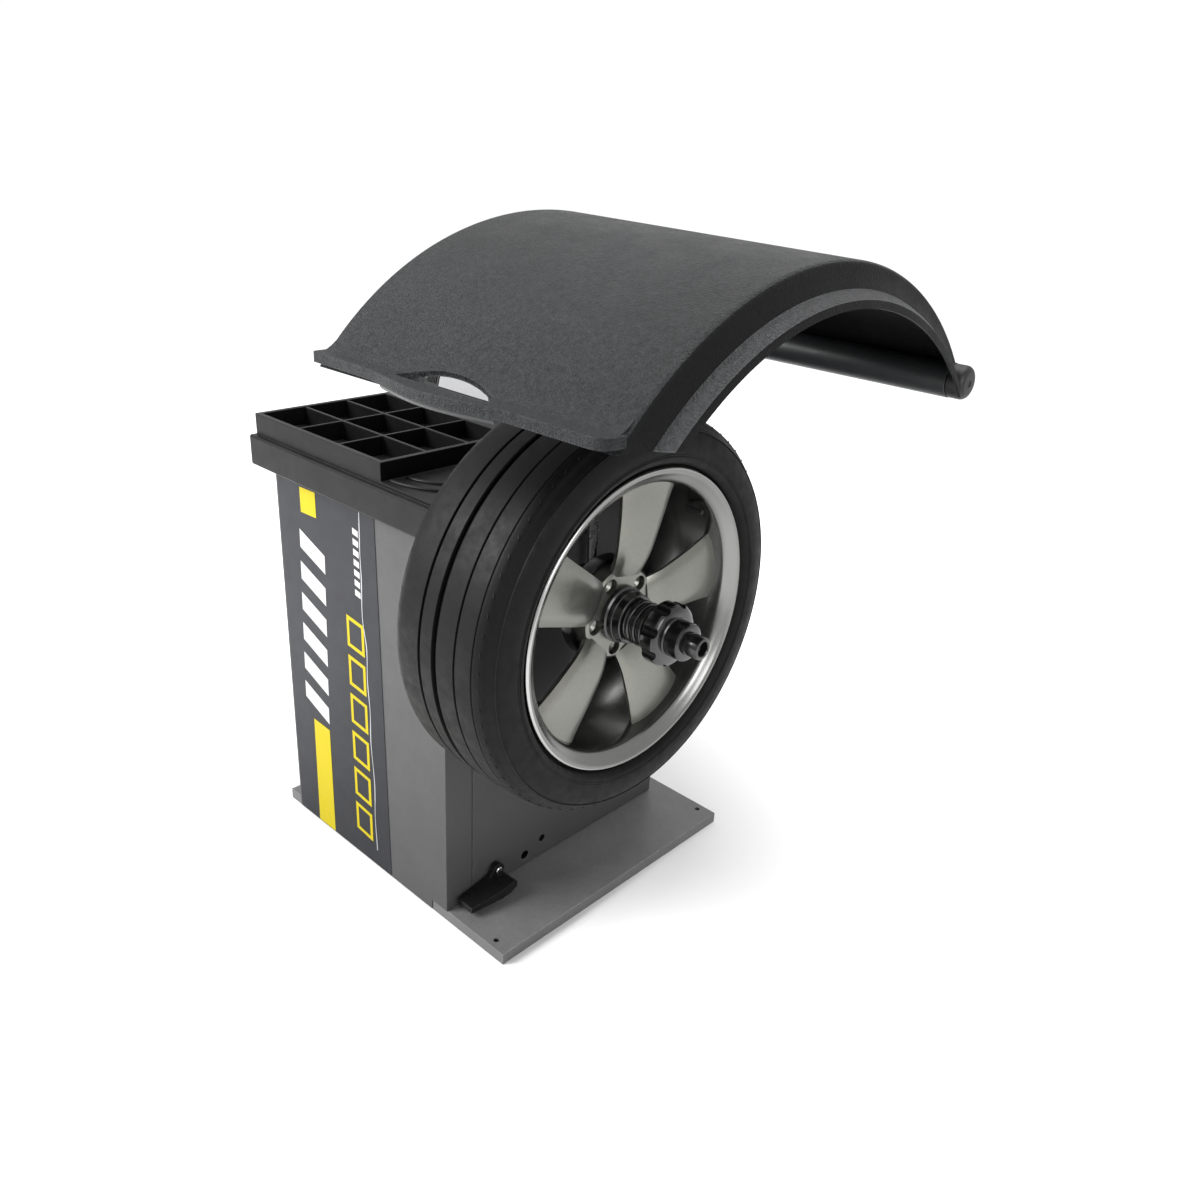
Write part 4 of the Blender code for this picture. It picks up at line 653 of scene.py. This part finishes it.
def make_hinge():
    low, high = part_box("hinge_tube")
    pipe = lathe("hinge_pipe", [(low.x, TUBE_R - 0.003), (low.x, TUBE_R), (high.x, TUBE_R),
                                (high.x, TUBE_R - 0.003)], 64, TUBE_Y, TUBE_Z, True)
    stand_in(pipe, "black_paint", "hinge_tube", bevel=0.0006)
    low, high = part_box("tube_cap")
    x0, x1 = low.x + 0.020, high.x
    nose = 0.010
    plug = TUBE_R - 0.0035
    profile = [(x0 - 0.02, 0.0), (x0 - 0.02, plug), (x0, plug), (x0, CAP_R - 0.001),
               (x0 + 0.001, CAP_R), (x1 - nose, CAP_R)]
    profile += [(x1 - nose + nose * sin(a), CAP_R - nose + nose * cos(a))
                for a in [pi / 2 * i / 8 for i in range(1, 9)]]
    profile += [(x1, 0.006), (x1 - 0.0015, 0.005), (x1 - 0.0015, 0.0)]
    stand_in(lathe("tube_end_cap", profile, 64, TUBE_Y, TUBE_Z), "black_plastic", "tube_cap", angle=40)
    wire = 0.0028
    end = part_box("hood_spring")[1].x - wire
    points = coil(end - 0.060, end, TUBE_Y, TUBE_Z, TUBE_R + 0.007, 4)
    stand_in(tube("hood_spring_coil", points, wire), "bare_steel", "hood_spring")
    refined("hood_cam", bevel=0.0008)
    for side in ("left", "right"):
        refined(f"hood_post_{side}", bevel=0.0022, segments=3)
        low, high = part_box(f"hood_post_{side}")
        for i, z in enumerate((low.z + 0.030, low.z + 0.150, low.z + 0.300)):
            hex_bolt(f"post_bolt_{side}_{i}", (low.x + high.x) / 2, high.y, z)
    refined("hood_switch", bevel=0.0020, segments=3)


def hex_bolt(name, x, y, z, r=0.0075):
    """A hexagon head with a washer, facing +Y."""
    washer = slab(name + "_washer", arc(x, z, r + 0.003, 0, 337.5, 15), y, y + 0.0014, 'Y')
    head = slab(name, arc(x, z, r, 0, 300, 5), y + 0.0014, y + 0.0066, 'Y')
    dress(merged(name, [washer, head]), "bare_steel", "machine", slot="bare_steel", bevel=0.0007)


# ---- tyre and wheel
WHEEL_LEFT, WHEEL_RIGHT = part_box("wheel_rim")[0].x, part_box("wheel_rim")[1].x
WHEEL_MID = (WHEEL_LEFT + WHEEL_RIGHT) / 2
RIM_R, SEAT_R, WELL_R, TYRE_R = 0.246, 0.2286, 0.206, 0.3234
TREAD_HALF = 0.0935
SHOULDER_X = 0.083
BEAD_GAP = 0.0003
SIPES = 72
SPOKES = 5
SPOKE_TURN = radians(8)
LUG_CIRCLE, LUG_R, BOLT_R = 0.057, 0.0128, 0.0072
WHEEL_FACE = FACE_X + 0.025


def smooth_line(points, steps):
    """Catmull-Rom points through a list."""
    ends = [points[0], *points, points[-1]]
    line = []
    for a, b, c, d in zip(ends, ends[1:], ends[2:], ends[3:]):
        for i in range(steps):
            t = i / steps
            line.append(tuple(0.5 * (2 * q + (r - p) * t + (2 * p - 5 * q + 4 * r - w) * t * t
                                     + (3 * q - p - 3 * r + w) * t ** 3)
                              for p, q, r, w in zip(a, b, c, d)))
    return line + [points[-1]]


def sidewall(outer):
    """Outside of one sidewall from bead to shoulder, as (distance from the middle, radius)."""
    bead = (WHEEL_RIGHT - WHEEL_LEFT) / 2 - 0.009 - BEAD_GAP
    main = [(bead, SEAT_R + BEAD_GAP), (bead, RIM_R - 0.004), (bead + 0.001, RIM_R + 0.0012),
            (outer - 0.0065, RIM_R + 0.0060), (outer - 0.0025, RIM_R + 0.0095),
            (outer - 0.0008, RIM_R + 0.0135)]
    flank = smooth_line([main[-1], (outer, RIM_R + 0.030), (outer - 0.0020, RIM_R + 0.044),
                         (outer - 0.0065, RIM_R + 0.056), (TREAD_HALF + 0.0035, TYRE_R - 0.0125),
                         (TREAD_HALF - 0.0030, TYRE_R - 0.0062), (TREAD_HALF - 0.012, TYRE_R - 0.0026)], 5)
    return main + flank[1:]


def with_grooves(line, grooves):
    """Cut rings into a crown line of (x, radius), each groove as (x, half width, depth)."""
    out = []
    for x, half, depth in grooves:
        out += [(x - half - 0.0008, 0), (x - half, 0.35 * depth), (x - half + 0.0006, depth),
                (x + half - 0.0006, depth), (x + half, 0.35 * depth), (x + half + 0.0008, 0)]
    marks = sorted(out + [(x, 0) for x, _ in line
                          if all(abs(x - g) > h + 0.0012 for g, h, _ in grooves)])

    def crown(x):
        for (x0, r0), (x1, r1) in zip(line, line[1:]):
            if x0 <= x <= x1:
                return r0 + (r1 - r0) * (x - x0) / (x1 - x0)
        return line[-1][1]

    return [(x, crown(x) - depth) for x, depth in marks]


def make_tyre():
    half = (WHEEL_RIGHT - WHEEL_LEFT) / 2
    outer = half + 0.006
    flank = sidewall(outer)
    left = [(-x, r) for x, r in flank]
    edge_x, edge_r = flank[-1]
    line = []
    for i in range(33):
        t = -1 + 2 * i / 32
        line.append((edge_x * t, TYRE_R - (TYRE_R - edge_r) * abs(t) ** 2.6))
    grooves = [(-0.0330, 0.0022, 0.0060), (0.0, 0.0048, 0.0068), (0.0430, 0.0014, 0.0045),
               (0.0770, 0.0009, 0.0020)]
    crown = with_grooves(line[1:-1], grooves)
    top_in = TYRE_R - 0.016
    bead = half - 0.0093
    wall_in = outer - 0.008
    inside = smooth_line([(bead - 0.014, SEAT_R + BEAD_GAP), (bead - 0.010, RIM_R + 0.002),
                          (wall_in - 0.002, RIM_R + 0.03), (TREAD_HALF - 0.010, top_in - 0.004),
                          (TREAD_HALF - 0.030, top_in)], 3)
    inside_left = [(-x, r) for x, r in inside]
    loop = left + crown + flank[::-1] + inside + inside_left[::-1]
    profile = [(WHEEL_MID + x, r) for x, r in loop]
    stand_in(lathe("tyre_body", profile, 180, closed=True), "tyre", "tyre", angle=38)
    sipes = []
    for row, (x0, x1) in enumerate(((-0.088, -0.070), (SHOULDER_X, 0.0905))):
        for i in range(SIPES):
            sipes.append(sipe(row, i, x0, x1))
    for side in (-1, 1):
        for k, r in enumerate((RIM_R + 0.0165, RIM_R + 0.0200, RIM_R + 0.0570)):
            bulge = outer - (0.0003 if k < 2 else 0.0062)
            low, high = WHEEL_MID + side * (bulge - 0.0012), WHEEL_MID + side * (bulge + 0.0005)
            ring = [(low, r - 0.0009), (high, r - 0.0004), (high, r + 0.0004), (low, r + 0.0009)]
            dress(lathe(f"tyre_line_{side + 1}_{k}", ring, 160, closed=True), "tyre", "spindle",
                  slot="tyre_rubber", angle=40)
    dress(merged("tread_marks", sipes), "tyre", "spindle", slot="tyre_rubber", angle=40)


def sipe(row, index, x0, x1):
    """A low bar across the shoulder, between two rings of the tread."""
    angle = 2 * pi * index / SIPES
    lift = 0.0006
    corners = []
    for x in (x0, x1):
        depth = (TYRE_R - 0.0026) if abs(x) < SHOULDER_X else (TYRE_R - 0.0052)
        for da in (-0.0055, 0.0055):
            for r in (depth - 0.002, depth + lift):
                a = angle + da + 0.10 * (x - x0) / 0.02
                corners.append((WHEEL_MID + x, AXIS_Y + r * cos(a), AXIS_Z + r * sin(a)))
    return six_sided(f"sipe_{row}_{index}", corners)


def rim_profile():
    """Closed barrel section with a polished lip, as (x, radius)."""
    x0, x1 = WHEEL_LEFT, WHEEL_RIGHT
    inner = SEAT_R - 0.007
    well = WELL_R - 0.007
    outside = [(x0, RIM_R - 0.004), (x0 + 0.0010, RIM_R - 0.0012), (x0 + 0.003, RIM_R),
               (x0 + 0.006, RIM_R - 0.0015), (x0 + 0.008, RIM_R - 0.004), (x0 + 0.009, SEAT_R),
               (x0 + 0.045, SEAT_R - 0.001),
               (x0 + 0.060, WELL_R), (x0 + 0.105, WELL_R), (x0 + 0.130, SEAT_R - 0.010),
               (x1 - 0.045, SEAT_R - 0.001), (x1 - 0.009, SEAT_R), (x1 - 0.008, RIM_R - 0.004),
               (x1 - 0.006, RIM_R - 0.0015), (x1 - 0.003, RIM_R), (x1 - 0.0010, RIM_R - 0.0012),
               (x1, RIM_R - 0.004)]
    inside = smooth_line([(x1, RIM_R - 0.0045), (x1 - 0.0015, RIM_R - 0.009),
                          (x1 - 0.006, RIM_R - 0.0150), (x1 - 0.014, inner - 0.001),
                          (x1 - 0.026, inner - 0.0042), (x1 - 0.040, inner - 0.006)], 3)
    back = [(x0 + 0.133, inner - 0.014), (x0 + 0.108, well), (x0 + 0.057, well),
            (x0 + 0.042, inner - 0.001), (x0 + 0.006, inner)]
    return outside + inside[1:] + back


def spoke(name, angle):
    """One broad spoke, dished towards the hub, flanks drawn in at mid length."""
    stations = [(0.062, 0.0340, 0.0005, -0.016), (0.078, 0.0365, 0.0060, -0.012),
                (0.100, 0.0400, 0.0105, -0.006), (0.130, 0.0450, 0.0125, -0.005),
                (0.160, 0.0500, 0.0135, -0.005), (0.190, 0.0560, 0.0135, -0.004),
                (0.2085, 0.0610, 0.0140, -0.003), (0.2165, 0.0650, 0.0150, -0.002)]
    dense = smooth_line([(r, half, WHEEL_FACE + top, WHEEL_FACE + low)
                         for r, half, top, low in stations], 3)
    across = 10
    bm = bmesh.new()
    rows = []
    for r, half, top, low in dense:
        row = []
        for k in range(across + 1):
            t = -1 + 2 * k / across
            crown = 0.0022 * (1 - t * t) - 0.0042 * abs(t) ** 6
            row.append((r, half * t, top + crown))
        for k in range(across, -1, -1):
            t = -1 + 2 * k / across
            row.append((r, half * t * 0.90, low + 0.0035 * abs(t) ** 4))
        c, s = cos(angle), sin(angle)
        rows.append([bm.verts.new((x, AXIS_Y + out * c - w * s, AXIS_Z + out * s + w * c))
                     for out, w, x in row])
    skin_rows(bm, rows)
    bm.faces.new(rows[0])
    bm.faces.new(list(reversed(rows[-1])))
    return to_object(name, bm)


def wheel_spot(index, radius):
    """A point (y, z) on the wheel at a share of its spokes' spacing."""
    angle = 2 * pi * index / SPOKES + SPOKE_TURN
    return AXIS_Y + radius * cos(angle), AXIS_Z + radius * sin(angle)


def make_wheel():
    barrel = lathe("rim_barrel", rim_profile(), 192, closed=True)
    stand_in(barrel, "rim_satin", "wheel_rim", angle=40)
    barrel.data.materials.append(M["chrome"])
    for part in barrel.data.polygons:
        if hypot(part.center.y - AXIS_Y, part.center.z - AXIS_Z) > RIM_R - 0.0030:
            part.material_index = 1
    back, clear = FACE_X - 0.01, WHEEL_FACE + 0.02
    spokes = [spoke(f"spoke_{i}", 2 * pi * i / SPOKES + SPOKE_TURN) for i in range(SPOKES)]
    for i, one in enumerate(spokes):
        for side in (-0.5, 0.5):
            cut(one, lathe("lug_cut", [(back, 0.0), (back, LUG_R), (clear, LUG_R), (clear, 0.0)],
                           32, *wheel_spot(i + side, LUG_CIRCLE)))
        dress(one, "alloy", "spindle", slot="chrome", angle=38)
    pad = lathe("hub_pad", [(FACE_X + 0.0002, 0.0358), (FACE_X + 0.0002, 0.078),
                            (FACE_X + 0.012, 0.078), (WHEEL_FACE - 0.003, 0.0755),
                            (WHEEL_FACE, 0.0715), (WHEEL_FACE, 0.0358)], 96, closed=True)
    for i in range(SPOKES):
        cut(pad, lathe("lug_cut", [(back, 0.0), (back, BOLT_R), (FACE_X + 0.010, BOLT_R),
                                   (FACE_X + 0.014, LUG_R), (clear, LUG_R), (clear, 0.0)],
                       32, *wheel_spot(i + 0.5, LUG_CIRCLE)))
    dress(pad, "alloy", "spindle", slot="chrome", angle=30)
    valve = lathe("valve_stem", [(WHEEL_RIGHT - 0.052, 0.0), (WHEEL_RIGHT - 0.052, 0.0055),
                                 (WHEEL_RIGHT - 0.034, 0.0042), (WHEEL_RIGHT - 0.030, 0.0038),
                                 (WHEEL_RIGHT - 0.020, 0.0038), (WHEEL_RIGHT - 0.019, 0.0)],
                  24, *wheel_spot(0.5, 0.205))
    dress(valve, "rubber", "spindle", slot="rubber", angle=40)


# ---- clamping parts and spindle
SHAFT_R = 0.018
SHAFT_STEP_X = -0.0947  # where the shaft widens to its full radius
CUP_BORE_R = 0.0183
NUT_BORE_R = 0.0186
NUT_RINGS, NUT_SCALLOPS = 3, 8
RING_R = 0.0046


def make_shaft():
    low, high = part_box("spindle_shaft")
    tail, tip = low.x, high.x
    r = SHAFT_R
    groove = tip - 0.020
    profile = [(tail, 0.0), (tail, r - 0.0045), (tail + 0.0015, r - 0.003), (SHAFT_STEP_X, r - 0.003),
               (SHAFT_STEP_X, r), (groove - 0.004, r), (groove - 0.0035, r - 0.0014),
               (groove - 0.0010, r - 0.0014), (groove - 0.0005, r), (tip - 0.0028, r),
               (tip - 0.0006, r - 0.0012), (tip, r - 0.0032), (tip, r - 0.0052),
               (tip - 0.0012, r - 0.0064), (tip - 0.012, r - 0.0072), (tip - 0.0150, 0.0)]
    stand_in(lathe("spindle_bar", profile, 64), "black_steel", "spindle_shaft", angle=32)


def make_cup():
    low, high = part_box("pressure_cup")
    a, b = low.x, high.x
    bore = CUP_BORE_R
    cup = [(a, 0.038), (a, 0.0450), (a + 0.001, 0.046), (a + 0.0075, 0.046), (a + 0.0085, 0.0445),
           (a + 0.0095, 0.0430), (a + 0.0180, 0.0425), (a + 0.0190, 0.0415), (b - 0.006, 0.0405),
           (b - 0.0015, 0.0400), (b, 0.0385), (b, bore), (a + 0.012, bore), (a + 0.012, 0.032)]
    stand_in(lathe("clamp_cup", cup, 96, closed=True), "cup", "pressure_cup", angle=32)


def make_nut():
    """The quick nut: a ringed sleeve, a scalloped hand ring, a nose and two release bars."""
    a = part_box("quick_nut")[0].x
    b = a + 0.048
    c = b + 0.029
    d = c + 0.028
    profile = [(a, NUT_BORE_R), (a, 0.0310), (a + 0.0012, 0.0325)]
    for k in range(NUT_RINGS):
        x = a + 0.0085 + 0.0125 * k
        bend = [pi - pi * i / 8 for i in range(9)]
        profile += [(x - 0.0052, 0.0310), *[(x + RING_R * cos(t), 0.0313 + RING_R * sin(t)) for t in bend],
                    (x + 0.0052, 0.0310)]
    profile += [(b - 0.004, 0.0315), (b, 0.0330), (b, 0.0465), (b + 0.0015, 0.0490),
                (b + 0.0035, 0.0500), (c - 0.0060, 0.0500), (c - 0.0025, 0.0475), (c, 0.0435),
                (c + 0.0005, 0.0320), (c + 0.002, 0.0300), (d - 0.0035, 0.0300), (d - 0.001, 0.0285),
                (d, 0.0265), (d, NUT_BORE_R)]
    nut = lathe("nut_body", profile, 96, closed=True)
    for i in range(NUT_SCALLOPS):
        angle = 2 * pi * (i + 0.5) / NUT_SCALLOPS
        y, z = AXIS_Y + 0.0565 * cos(angle), AXIS_Z + 0.0565 * sin(angle)
        cut(nut, lathe("scallop", [(b - 0.002, 0.0), (b - 0.002, 0.0120), (c + 0.002, 0.0120),
                                   (c + 0.002, 0.0)], 24, y, z))
    stand_in(nut, "black_steel", "quick_nut", angle=30)
    bars = []
    half = 0.004
    for i in range(2):
        angle = pi * i + radians(35)
        y, z = AXIS_Y + 0.0315 * cos(angle), AXIS_Z + 0.0315 * sin(angle)
        bars.append(block(f"lever_{i}", (a + half, y - half, z - half), (b - 0.002, y + half, z + half)))
    dress(merged("nut_release_bars", bars), "black_steel", "nut", slot="black_steel", bevel=0.0012)


def make_clamp():
    make_shaft()
    stand_in(turned("spindle_flange"), "black_steel", "spindle_flange", bevel=0.0012)
    make_cup()
    make_nut()
    stand_in(turned("centering_cone"), "bare_steel", "centering_cone", bevel=0.0006)
    low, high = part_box("cone_spring")
    wire = 0.0018
    points = coil(low.x + wire, high.x - wire, AXIS_Y, AXIS_Z, 0.026, 3)
    stand_in(tube("cone_spring_coil", points, wire, 4), "bare_steel", "cone_spring")


FLANGE_END_X = 0.211
SECTIONS = {
    "spindle_flange": [(FLANGE_END_X, 0.036), (FACE_X - 0.067, 0.036), (FACE_X - 0.067, 0.054),
                       (FACE_X - 0.022, 0.054), (FACE_X - 0.022, 0.085), (FACE_X - 0.0003, 0.085),
                       (FACE_X - 0.0003, 0.046), (FACE_X - 0.057, 0.046), (FACE_X - 0.057, CUP_BORE_R),
                       (FLANGE_END_X, CUP_BORE_R)],
    "centering_cone": [(FACE_X - 0.027, 0.0435), (FACE_X, 0.0352), (FACE_X + 0.019, 0.029),
                       (FACE_X + 0.019, CUP_BORE_R), (FACE_X - 0.027, CUP_BORE_R)],
}


def turned(node):
    """A section turned with fine facets in the node's place."""
    return lathe("turned_" + node, SECTIONS[node], 96, closed=True)


# ---- cabinet
MARK_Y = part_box("front_decal")[0].y - 0.0001
MARK_T = 0.0003


def mark(name, outline, look):
    """A thin printed shape lying on the front sheet's vinyl, from (x, z) points."""
    return dress(slab(name, outline, MARK_Y - MARK_T, MARK_Y, 'Y'), look, "machine", slot="vinyl", angle=40)


def leaning(x0, x1, z0, z1, lean=0.0):
    """Four corners, the right side lower by lean."""
    return [(x0, z0), (x1, z0 + lean), (x1, z1 + lean), (x0, z1)]


def bracket(x0, x1, z0, z1, lean, t):
    """Outer and inner corners of a slanted frame t wide."""
    outer = leaning(x0, x1, z0, z1, lean)
    drop = lean * t / (x1 - x0)
    return outer, leaning(x0 + t, x1 - t, z0 + t + drop, z1 - t + drop, lean - 2 * drop)


def hollow(name, outer, inner, look):
    """A thin frame between two four-sided loops on the front."""
    bm = bmesh.new()
    loops = [[bm.verts.new((x, y, z)) for x, z in loop]
             for y in (MARK_Y - MARK_T, MARK_Y) for loop in (outer, inner)]
    a, b, c, d = loops
    for i in range(4):
        j = (i + 1) % 4
        bm.faces.new((a[i], a[j], b[j], b[i]))
        bm.faces.new((c[i], d[i], d[j], c[j]))
        bm.faces.new((a[i], c[i], c[j], a[j]))
        bm.faces.new((b[i], b[j], d[j], d[i]))
    return dress(to_object(name, bm), look, "machine", slot="vinyl", angle=40)


def make_decal():
    refined("front_decal", "vinyl", bevel=0.0)
    mark("mark_block", leaning(-0.2165, -0.1675, 0.6785, 0.7260, 0.0015), "yellow")
    mark("mark_bar", [(-0.2245, 0.0060), (-0.1685, 0.0060), (-0.1670, 0.2440), (-0.2205, 0.2470)],
         "yellow")
    for i in range(6):
        z = 0.288 + 0.064 * i
        x0 = -0.2440 + 0.0035 * i
        mark(f"mark_slash_{i}", [(x0, z), (x0 + 0.078, z - 0.030), (x0 + 0.079, z + 0.006),
                                 (x0 + 0.001, z + 0.036)], "white")
    for i in range(6):
        z = 0.060 + 0.080 * i
        outer, inner = bracket(-0.0885, -0.0365, z, z + 0.062, -0.006, 0.0075)
        hollow(f"mark_frame_{i}", outer, inner, "yellow")
    for i in range(7):
        z = 0.570 + 0.0190 * i
        mark(f"mark_dash_{i}", leaning(-0.0570, -0.0410, z, z + 0.0115, -0.003), "white")
    line = smooth_line([(-0.0352, 0.7290), (-0.0376, 0.6692), (-0.0368, 0.6141), (-0.0385, 0.5329),
                        (-0.0300, 0.4700), (-0.0320, 0.4024), (-0.0275, 0.3450), (-0.0300, 0.2868),
                        (-0.0240, 0.1974), (-0.0262, 0.1150), (-0.0238, 0.0406)], 6)
    wide = [(x + 0.0010 + 0.0012 * sin(i * 0.35) ** 2, z) for i, (x, z) in enumerate(line)]
    thin = [(x - 0.0010, z) for x, z in line]
    mark("mark_line", thin + wide[::-1], "silver")


def make_cabinet():
    refined("base_plate", "base", bevel=0.0014, segments=3)
    refined("front_panel", "cabinet", bevel=0.0014)
    refined("side_panel", "cabinet", bevel=0.0008)
    refined("cabinet_body", "cabinet", bevel=0.0008)
    refined("rear_cover", "cabinet", bevel=0.0007)
    low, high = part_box("rear_cover")
    for i, x in enumerate((low.x + 0.014, high.x - 0.014)):
        for k, z in enumerate((low.z + 0.03, (low.z + high.z) / 2, high.z - 0.05)):
            pan_screw(f"rear_screw_{i}_{k}", (x, high.y, z))


def pan_screw(name, spot):
    """A domed screw head with a cross recess, facing +Y."""
    r = 0.0045
    slot_t, slot_w = 0.0009, 0.0032
    dome = [(0.0, r), (0.0010, r), (0.0020, r * 0.82), (0.0026, r * 0.5), (0.0028, 0.0)]
    head = lathe(name, [(0.0, 0.0), *dome], 24, 0.0, 0.0)
    for w, h in ((slot_t, slot_w), (slot_w, slot_t)):
        cut(head, block("recess", (0.0012, -w / 2, -h / 2), (0.004, w / 2, h / 2)))
    head.data.transform(Matrix.Translation(spot) @ Matrix.Rotation(pi / 2, 4, 'Z'))
    return dress(head, "bare_steel", "machine", slot="bare_steel", angle=32)


# ---- weight tray
def make_tray():
    refined("weight_tray", "tray", bevel=0.0022, segments=3)
    refined("tray_dividers", "tray", bevel=0.0012, segments=3)
    low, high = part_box("tray_dividers")
    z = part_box("weight_tray")[1].z - 0.031
    x0 = high.x + 0.018
    sweeps = ((low.y + 0.035, low.y + 0.165, 0.170), (low.y + 0.004, low.y + 0.110, 0.185))
    for k, (y0, y1, x1) in enumerate(sweeps):
        turns = [pi / 2 * i / 16 for i in range(17)]
        ridge = [(x0 + (x1 - x0) * sin(a), y0 + (y1 - y0) * (1 - cos(a)), z) for a in turns]
        dress(tube(f"tray_ridge_{k}", ridge, 0.0036), "tray", "machine", slot="black_plastic")


# ---- console
# Bars of a lit zero as (across, up, width, height) from the digit's middle.
SEGMENTS = ((0, 0.018, 0.013, 0.003), (0.0078, 0.0095, 0.003, 0.014), (0.0078, -0.0095, 0.003, 0.014),
            (0, -0.018, 0.013, 0.003), (-0.0078, -0.0095, 0.003, 0.014), (-0.0078, 0.0095, 0.003, 0.014))
FACE_TILT = radians(15)


def make_console():
    refined("console_housing", "black_plastic", bevel=0.0035, segments=4)
    refined("face_plate", "panel", bevel=0.0006)
    for i in (1, 2):
        refined(f"display_window_{i}", "window", bevel=0.0006)
    low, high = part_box("console_housing")
    foot = Vector((0.0, 0.040, low.z))
    lean, rise = sin(FACE_TILT), cos(FACE_TILT)

    def on_face(x, up, out):
        """A point on the tilted front: across, height along the slope, distance in front."""
        return Vector((x, foot.y + up * lean - out * rise, foot.z + up * rise + out * lean))

    def tile(name, x0, x1, up0, up1, out0, out1, look, slot, bevel=0.0):
        corners = [on_face(x, up, out) for x in (x0, x1) for up in (up0, up1) for out in (out0, out1)]
        return dress(six_sided(name, corners), look, "machine", slot=slot, bevel=bevel)

    for side, x in (("left", low.x + 0.006), ("right", high.x - 0.034)):
        for i in range(7):
            a = x + 0.0042 * i
            tile(f"cheek_rib_{side}_{i}", a, a + 0.0022, 0.016, 0.205, -0.002, 0.0022, "black_plastic",
                 "black_plastic", 0.0006)
    plate_low, plate_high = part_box("face_plate")
    middle = (plate_low.x + plate_high.x) / 2
    centre = (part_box("display_window_1")[0].z - low.z) / rise + 0.032
    for side, x in enumerate((middle - 0.075, middle + 0.075)):
        for digit in (1, 2):
            cx = x - 0.030 + 0.030 * digit
            for k, (dx, dz, w, h) in enumerate(SEGMENTS):
                up = centre + dz
                tile(f"segment_{side}_{digit}_{k}", cx + dx - w / 2, cx + dx + w / 2, up - h / 2,
                     up + h / 2, -0.0012, 0.0002, "digit", "display")
    for name in ("key_1", "key_2", "key_3", "key_4", "stop_key", "start_key"):
        refined(name, bevel=0.0008)
    tile("panel_stripe", plate_low.x + 0.010, plate_high.x - 0.010, 0.092, 0.0945, -0.0012, -0.0002,
         "black_plastic", "panel_plastic")


# ---- foot brake
def make_pedal():
    refined("foot_pedal", "pedal", bevel=0.0018, segments=3)
    refined("pedal_bearing", "black_paint", bevel=0.0010)
    low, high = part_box("pedal_pin")
    y, z = JOINTS["pedal_press"]["pos_m"][1:]
    r, head = 0.005, 0.0075
    profile = [(low.x, 0.0), (low.x, r - 0.0008), (low.x + 0.0008, r), (high.x - 0.0022, r),
               (high.x - 0.0022, head), (high.x - 0.0006, head), (high.x + 0.0006, head - 0.0014),
               (high.x + 0.0010, 0.0)]
    stand_in(lathe("pedal_pin_fine", profile, 32, y, z), "chrome", "pedal_pin", angle=30)


# ---- the rest
def make_gauge():
    refined("gauge_rod", "bare_steel", bevel=0.0006)
    refined("gauge_bush", "black_plastic", bevel=0.0006)
    refined("gauge_carriage", bevel=0.0015)


def make_electrics():
    refined("mains_module", bevel=0.0012)
    refined("power_rocker", bevel=0.0006)
    low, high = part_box("mains_module")
    x = (low.x + high.x) / 2
    for i, dx in enumerate((-0.0065, 0.0, 0.0065)):
        z = low.z + 0.018 + (0.0035 if dx == 0 else -0.001)
        pin = block(f"mains_pin_{i}", (x + dx - 0.0011, high.y - 0.014, z - 0.0022),
                    (x + dx + 0.0011, high.y - 0.002, z + 0.0022))
        dress(pin, "bare_steel", "machine", slot="bare_steel", bevel=0.0004)
    refined("control_box", bevel=0.002)


def dress_the_rest():
    """CAD nodes that keep their own mesh get the finish of their slot."""
    for name, node in NODES.items():
        if node.hide_render:
            continue
        node.data.materials.clear()
        node.data.materials.append(M[SLOT_LOOK[SLOT_OF[name]]])


make_hood()
make_hinge()
make_tyre()
make_wheel()
make_clamp()
make_decal()
make_cabinet()
make_tray()
make_console()
make_pedal()
make_gauge()
make_electrics()
dress_the_rest()


# ---- studio
WHITE = (1.0, 1.0, 1.0, 1.0)


def make_floor():
    """White paper with a painted shadow: a little darker close round the machine."""
    bm = bmesh.new()
    bmesh.ops.create_grid(bm, x_segments=1, y_segments=1, size=14.0)
    floor = to_object("floor", bm)
    floor.location.z = -0.0005
    mat = bpy.data.materials.new("floor_paper")
    mat.use_nodes = True
    tree = mat.node_tree
    shader = tree.nodes["Principled BSDF"]
    where = tree.nodes.new("ShaderNodeTexCoord").outputs["Object"]
    # painted shadow: the paper is darker near the machine and fades to white further out
    painted_shadow_tone = blend_colour(tree, noise(tree, where, 1.5), scaled(WHITE, 0.56), scaled(WHITE, 0.59))
    length = shader_node(tree, "ShaderNodeVectorMath", operation='LENGTH')
    tree.links.new(where, length.inputs[0])
    shadow_fade = spread(tree, length.outputs["Value"], 0.0, 1.0, 0.40, 1.05)
    tone = blend_colour(tree, shadow_fade, painted_shadow_tone, WHITE)
    tree.links.new(tone, shader.inputs["Base Color"])
    shader.inputs["Roughness"].default_value = 0.9
    floor.data.materials.append(mat)


def area_light(name, spot, aim, size, power):
    data = bpy.data.lights.new(name, 'AREA')
    data.shape = 'DISK'
    data.size = size
    data.energy = power
    light = bpy.data.objects.new(name, data)
    light.location = spot
    light.rotation_euler = (Vector(aim) - Vector(spot)).to_track_quat('-Z', 'Y').to_euler()
    bpy.context.scene.collection.objects.link(light)


def make_studio():
    make_floor()
    world = bpy.data.worlds.new("studio")
    world.use_nodes = True
    set_inputs(world.node_tree.nodes["Background"], {"Color": WHITE, "Strength": 1.03})
    bpy.context.scene.world = world
    bpy.context.scene.view_settings.view_transform = 'Standard'
    area_light("key", (-1.6, -3.0, 2.8), (0.0, -0.1, 0.6), 2.2, 330.0)
    area_light("top", (0.4, 0.6, 3.4), (0.2, -0.1, 0.9), 2.4, 70.0)
    area_light("rim", (3.0, -0.6, 1.6), (0.4, -0.1, 0.6), 1.4, 34.0)


make_studio()

bpy.context.view_layer.update()
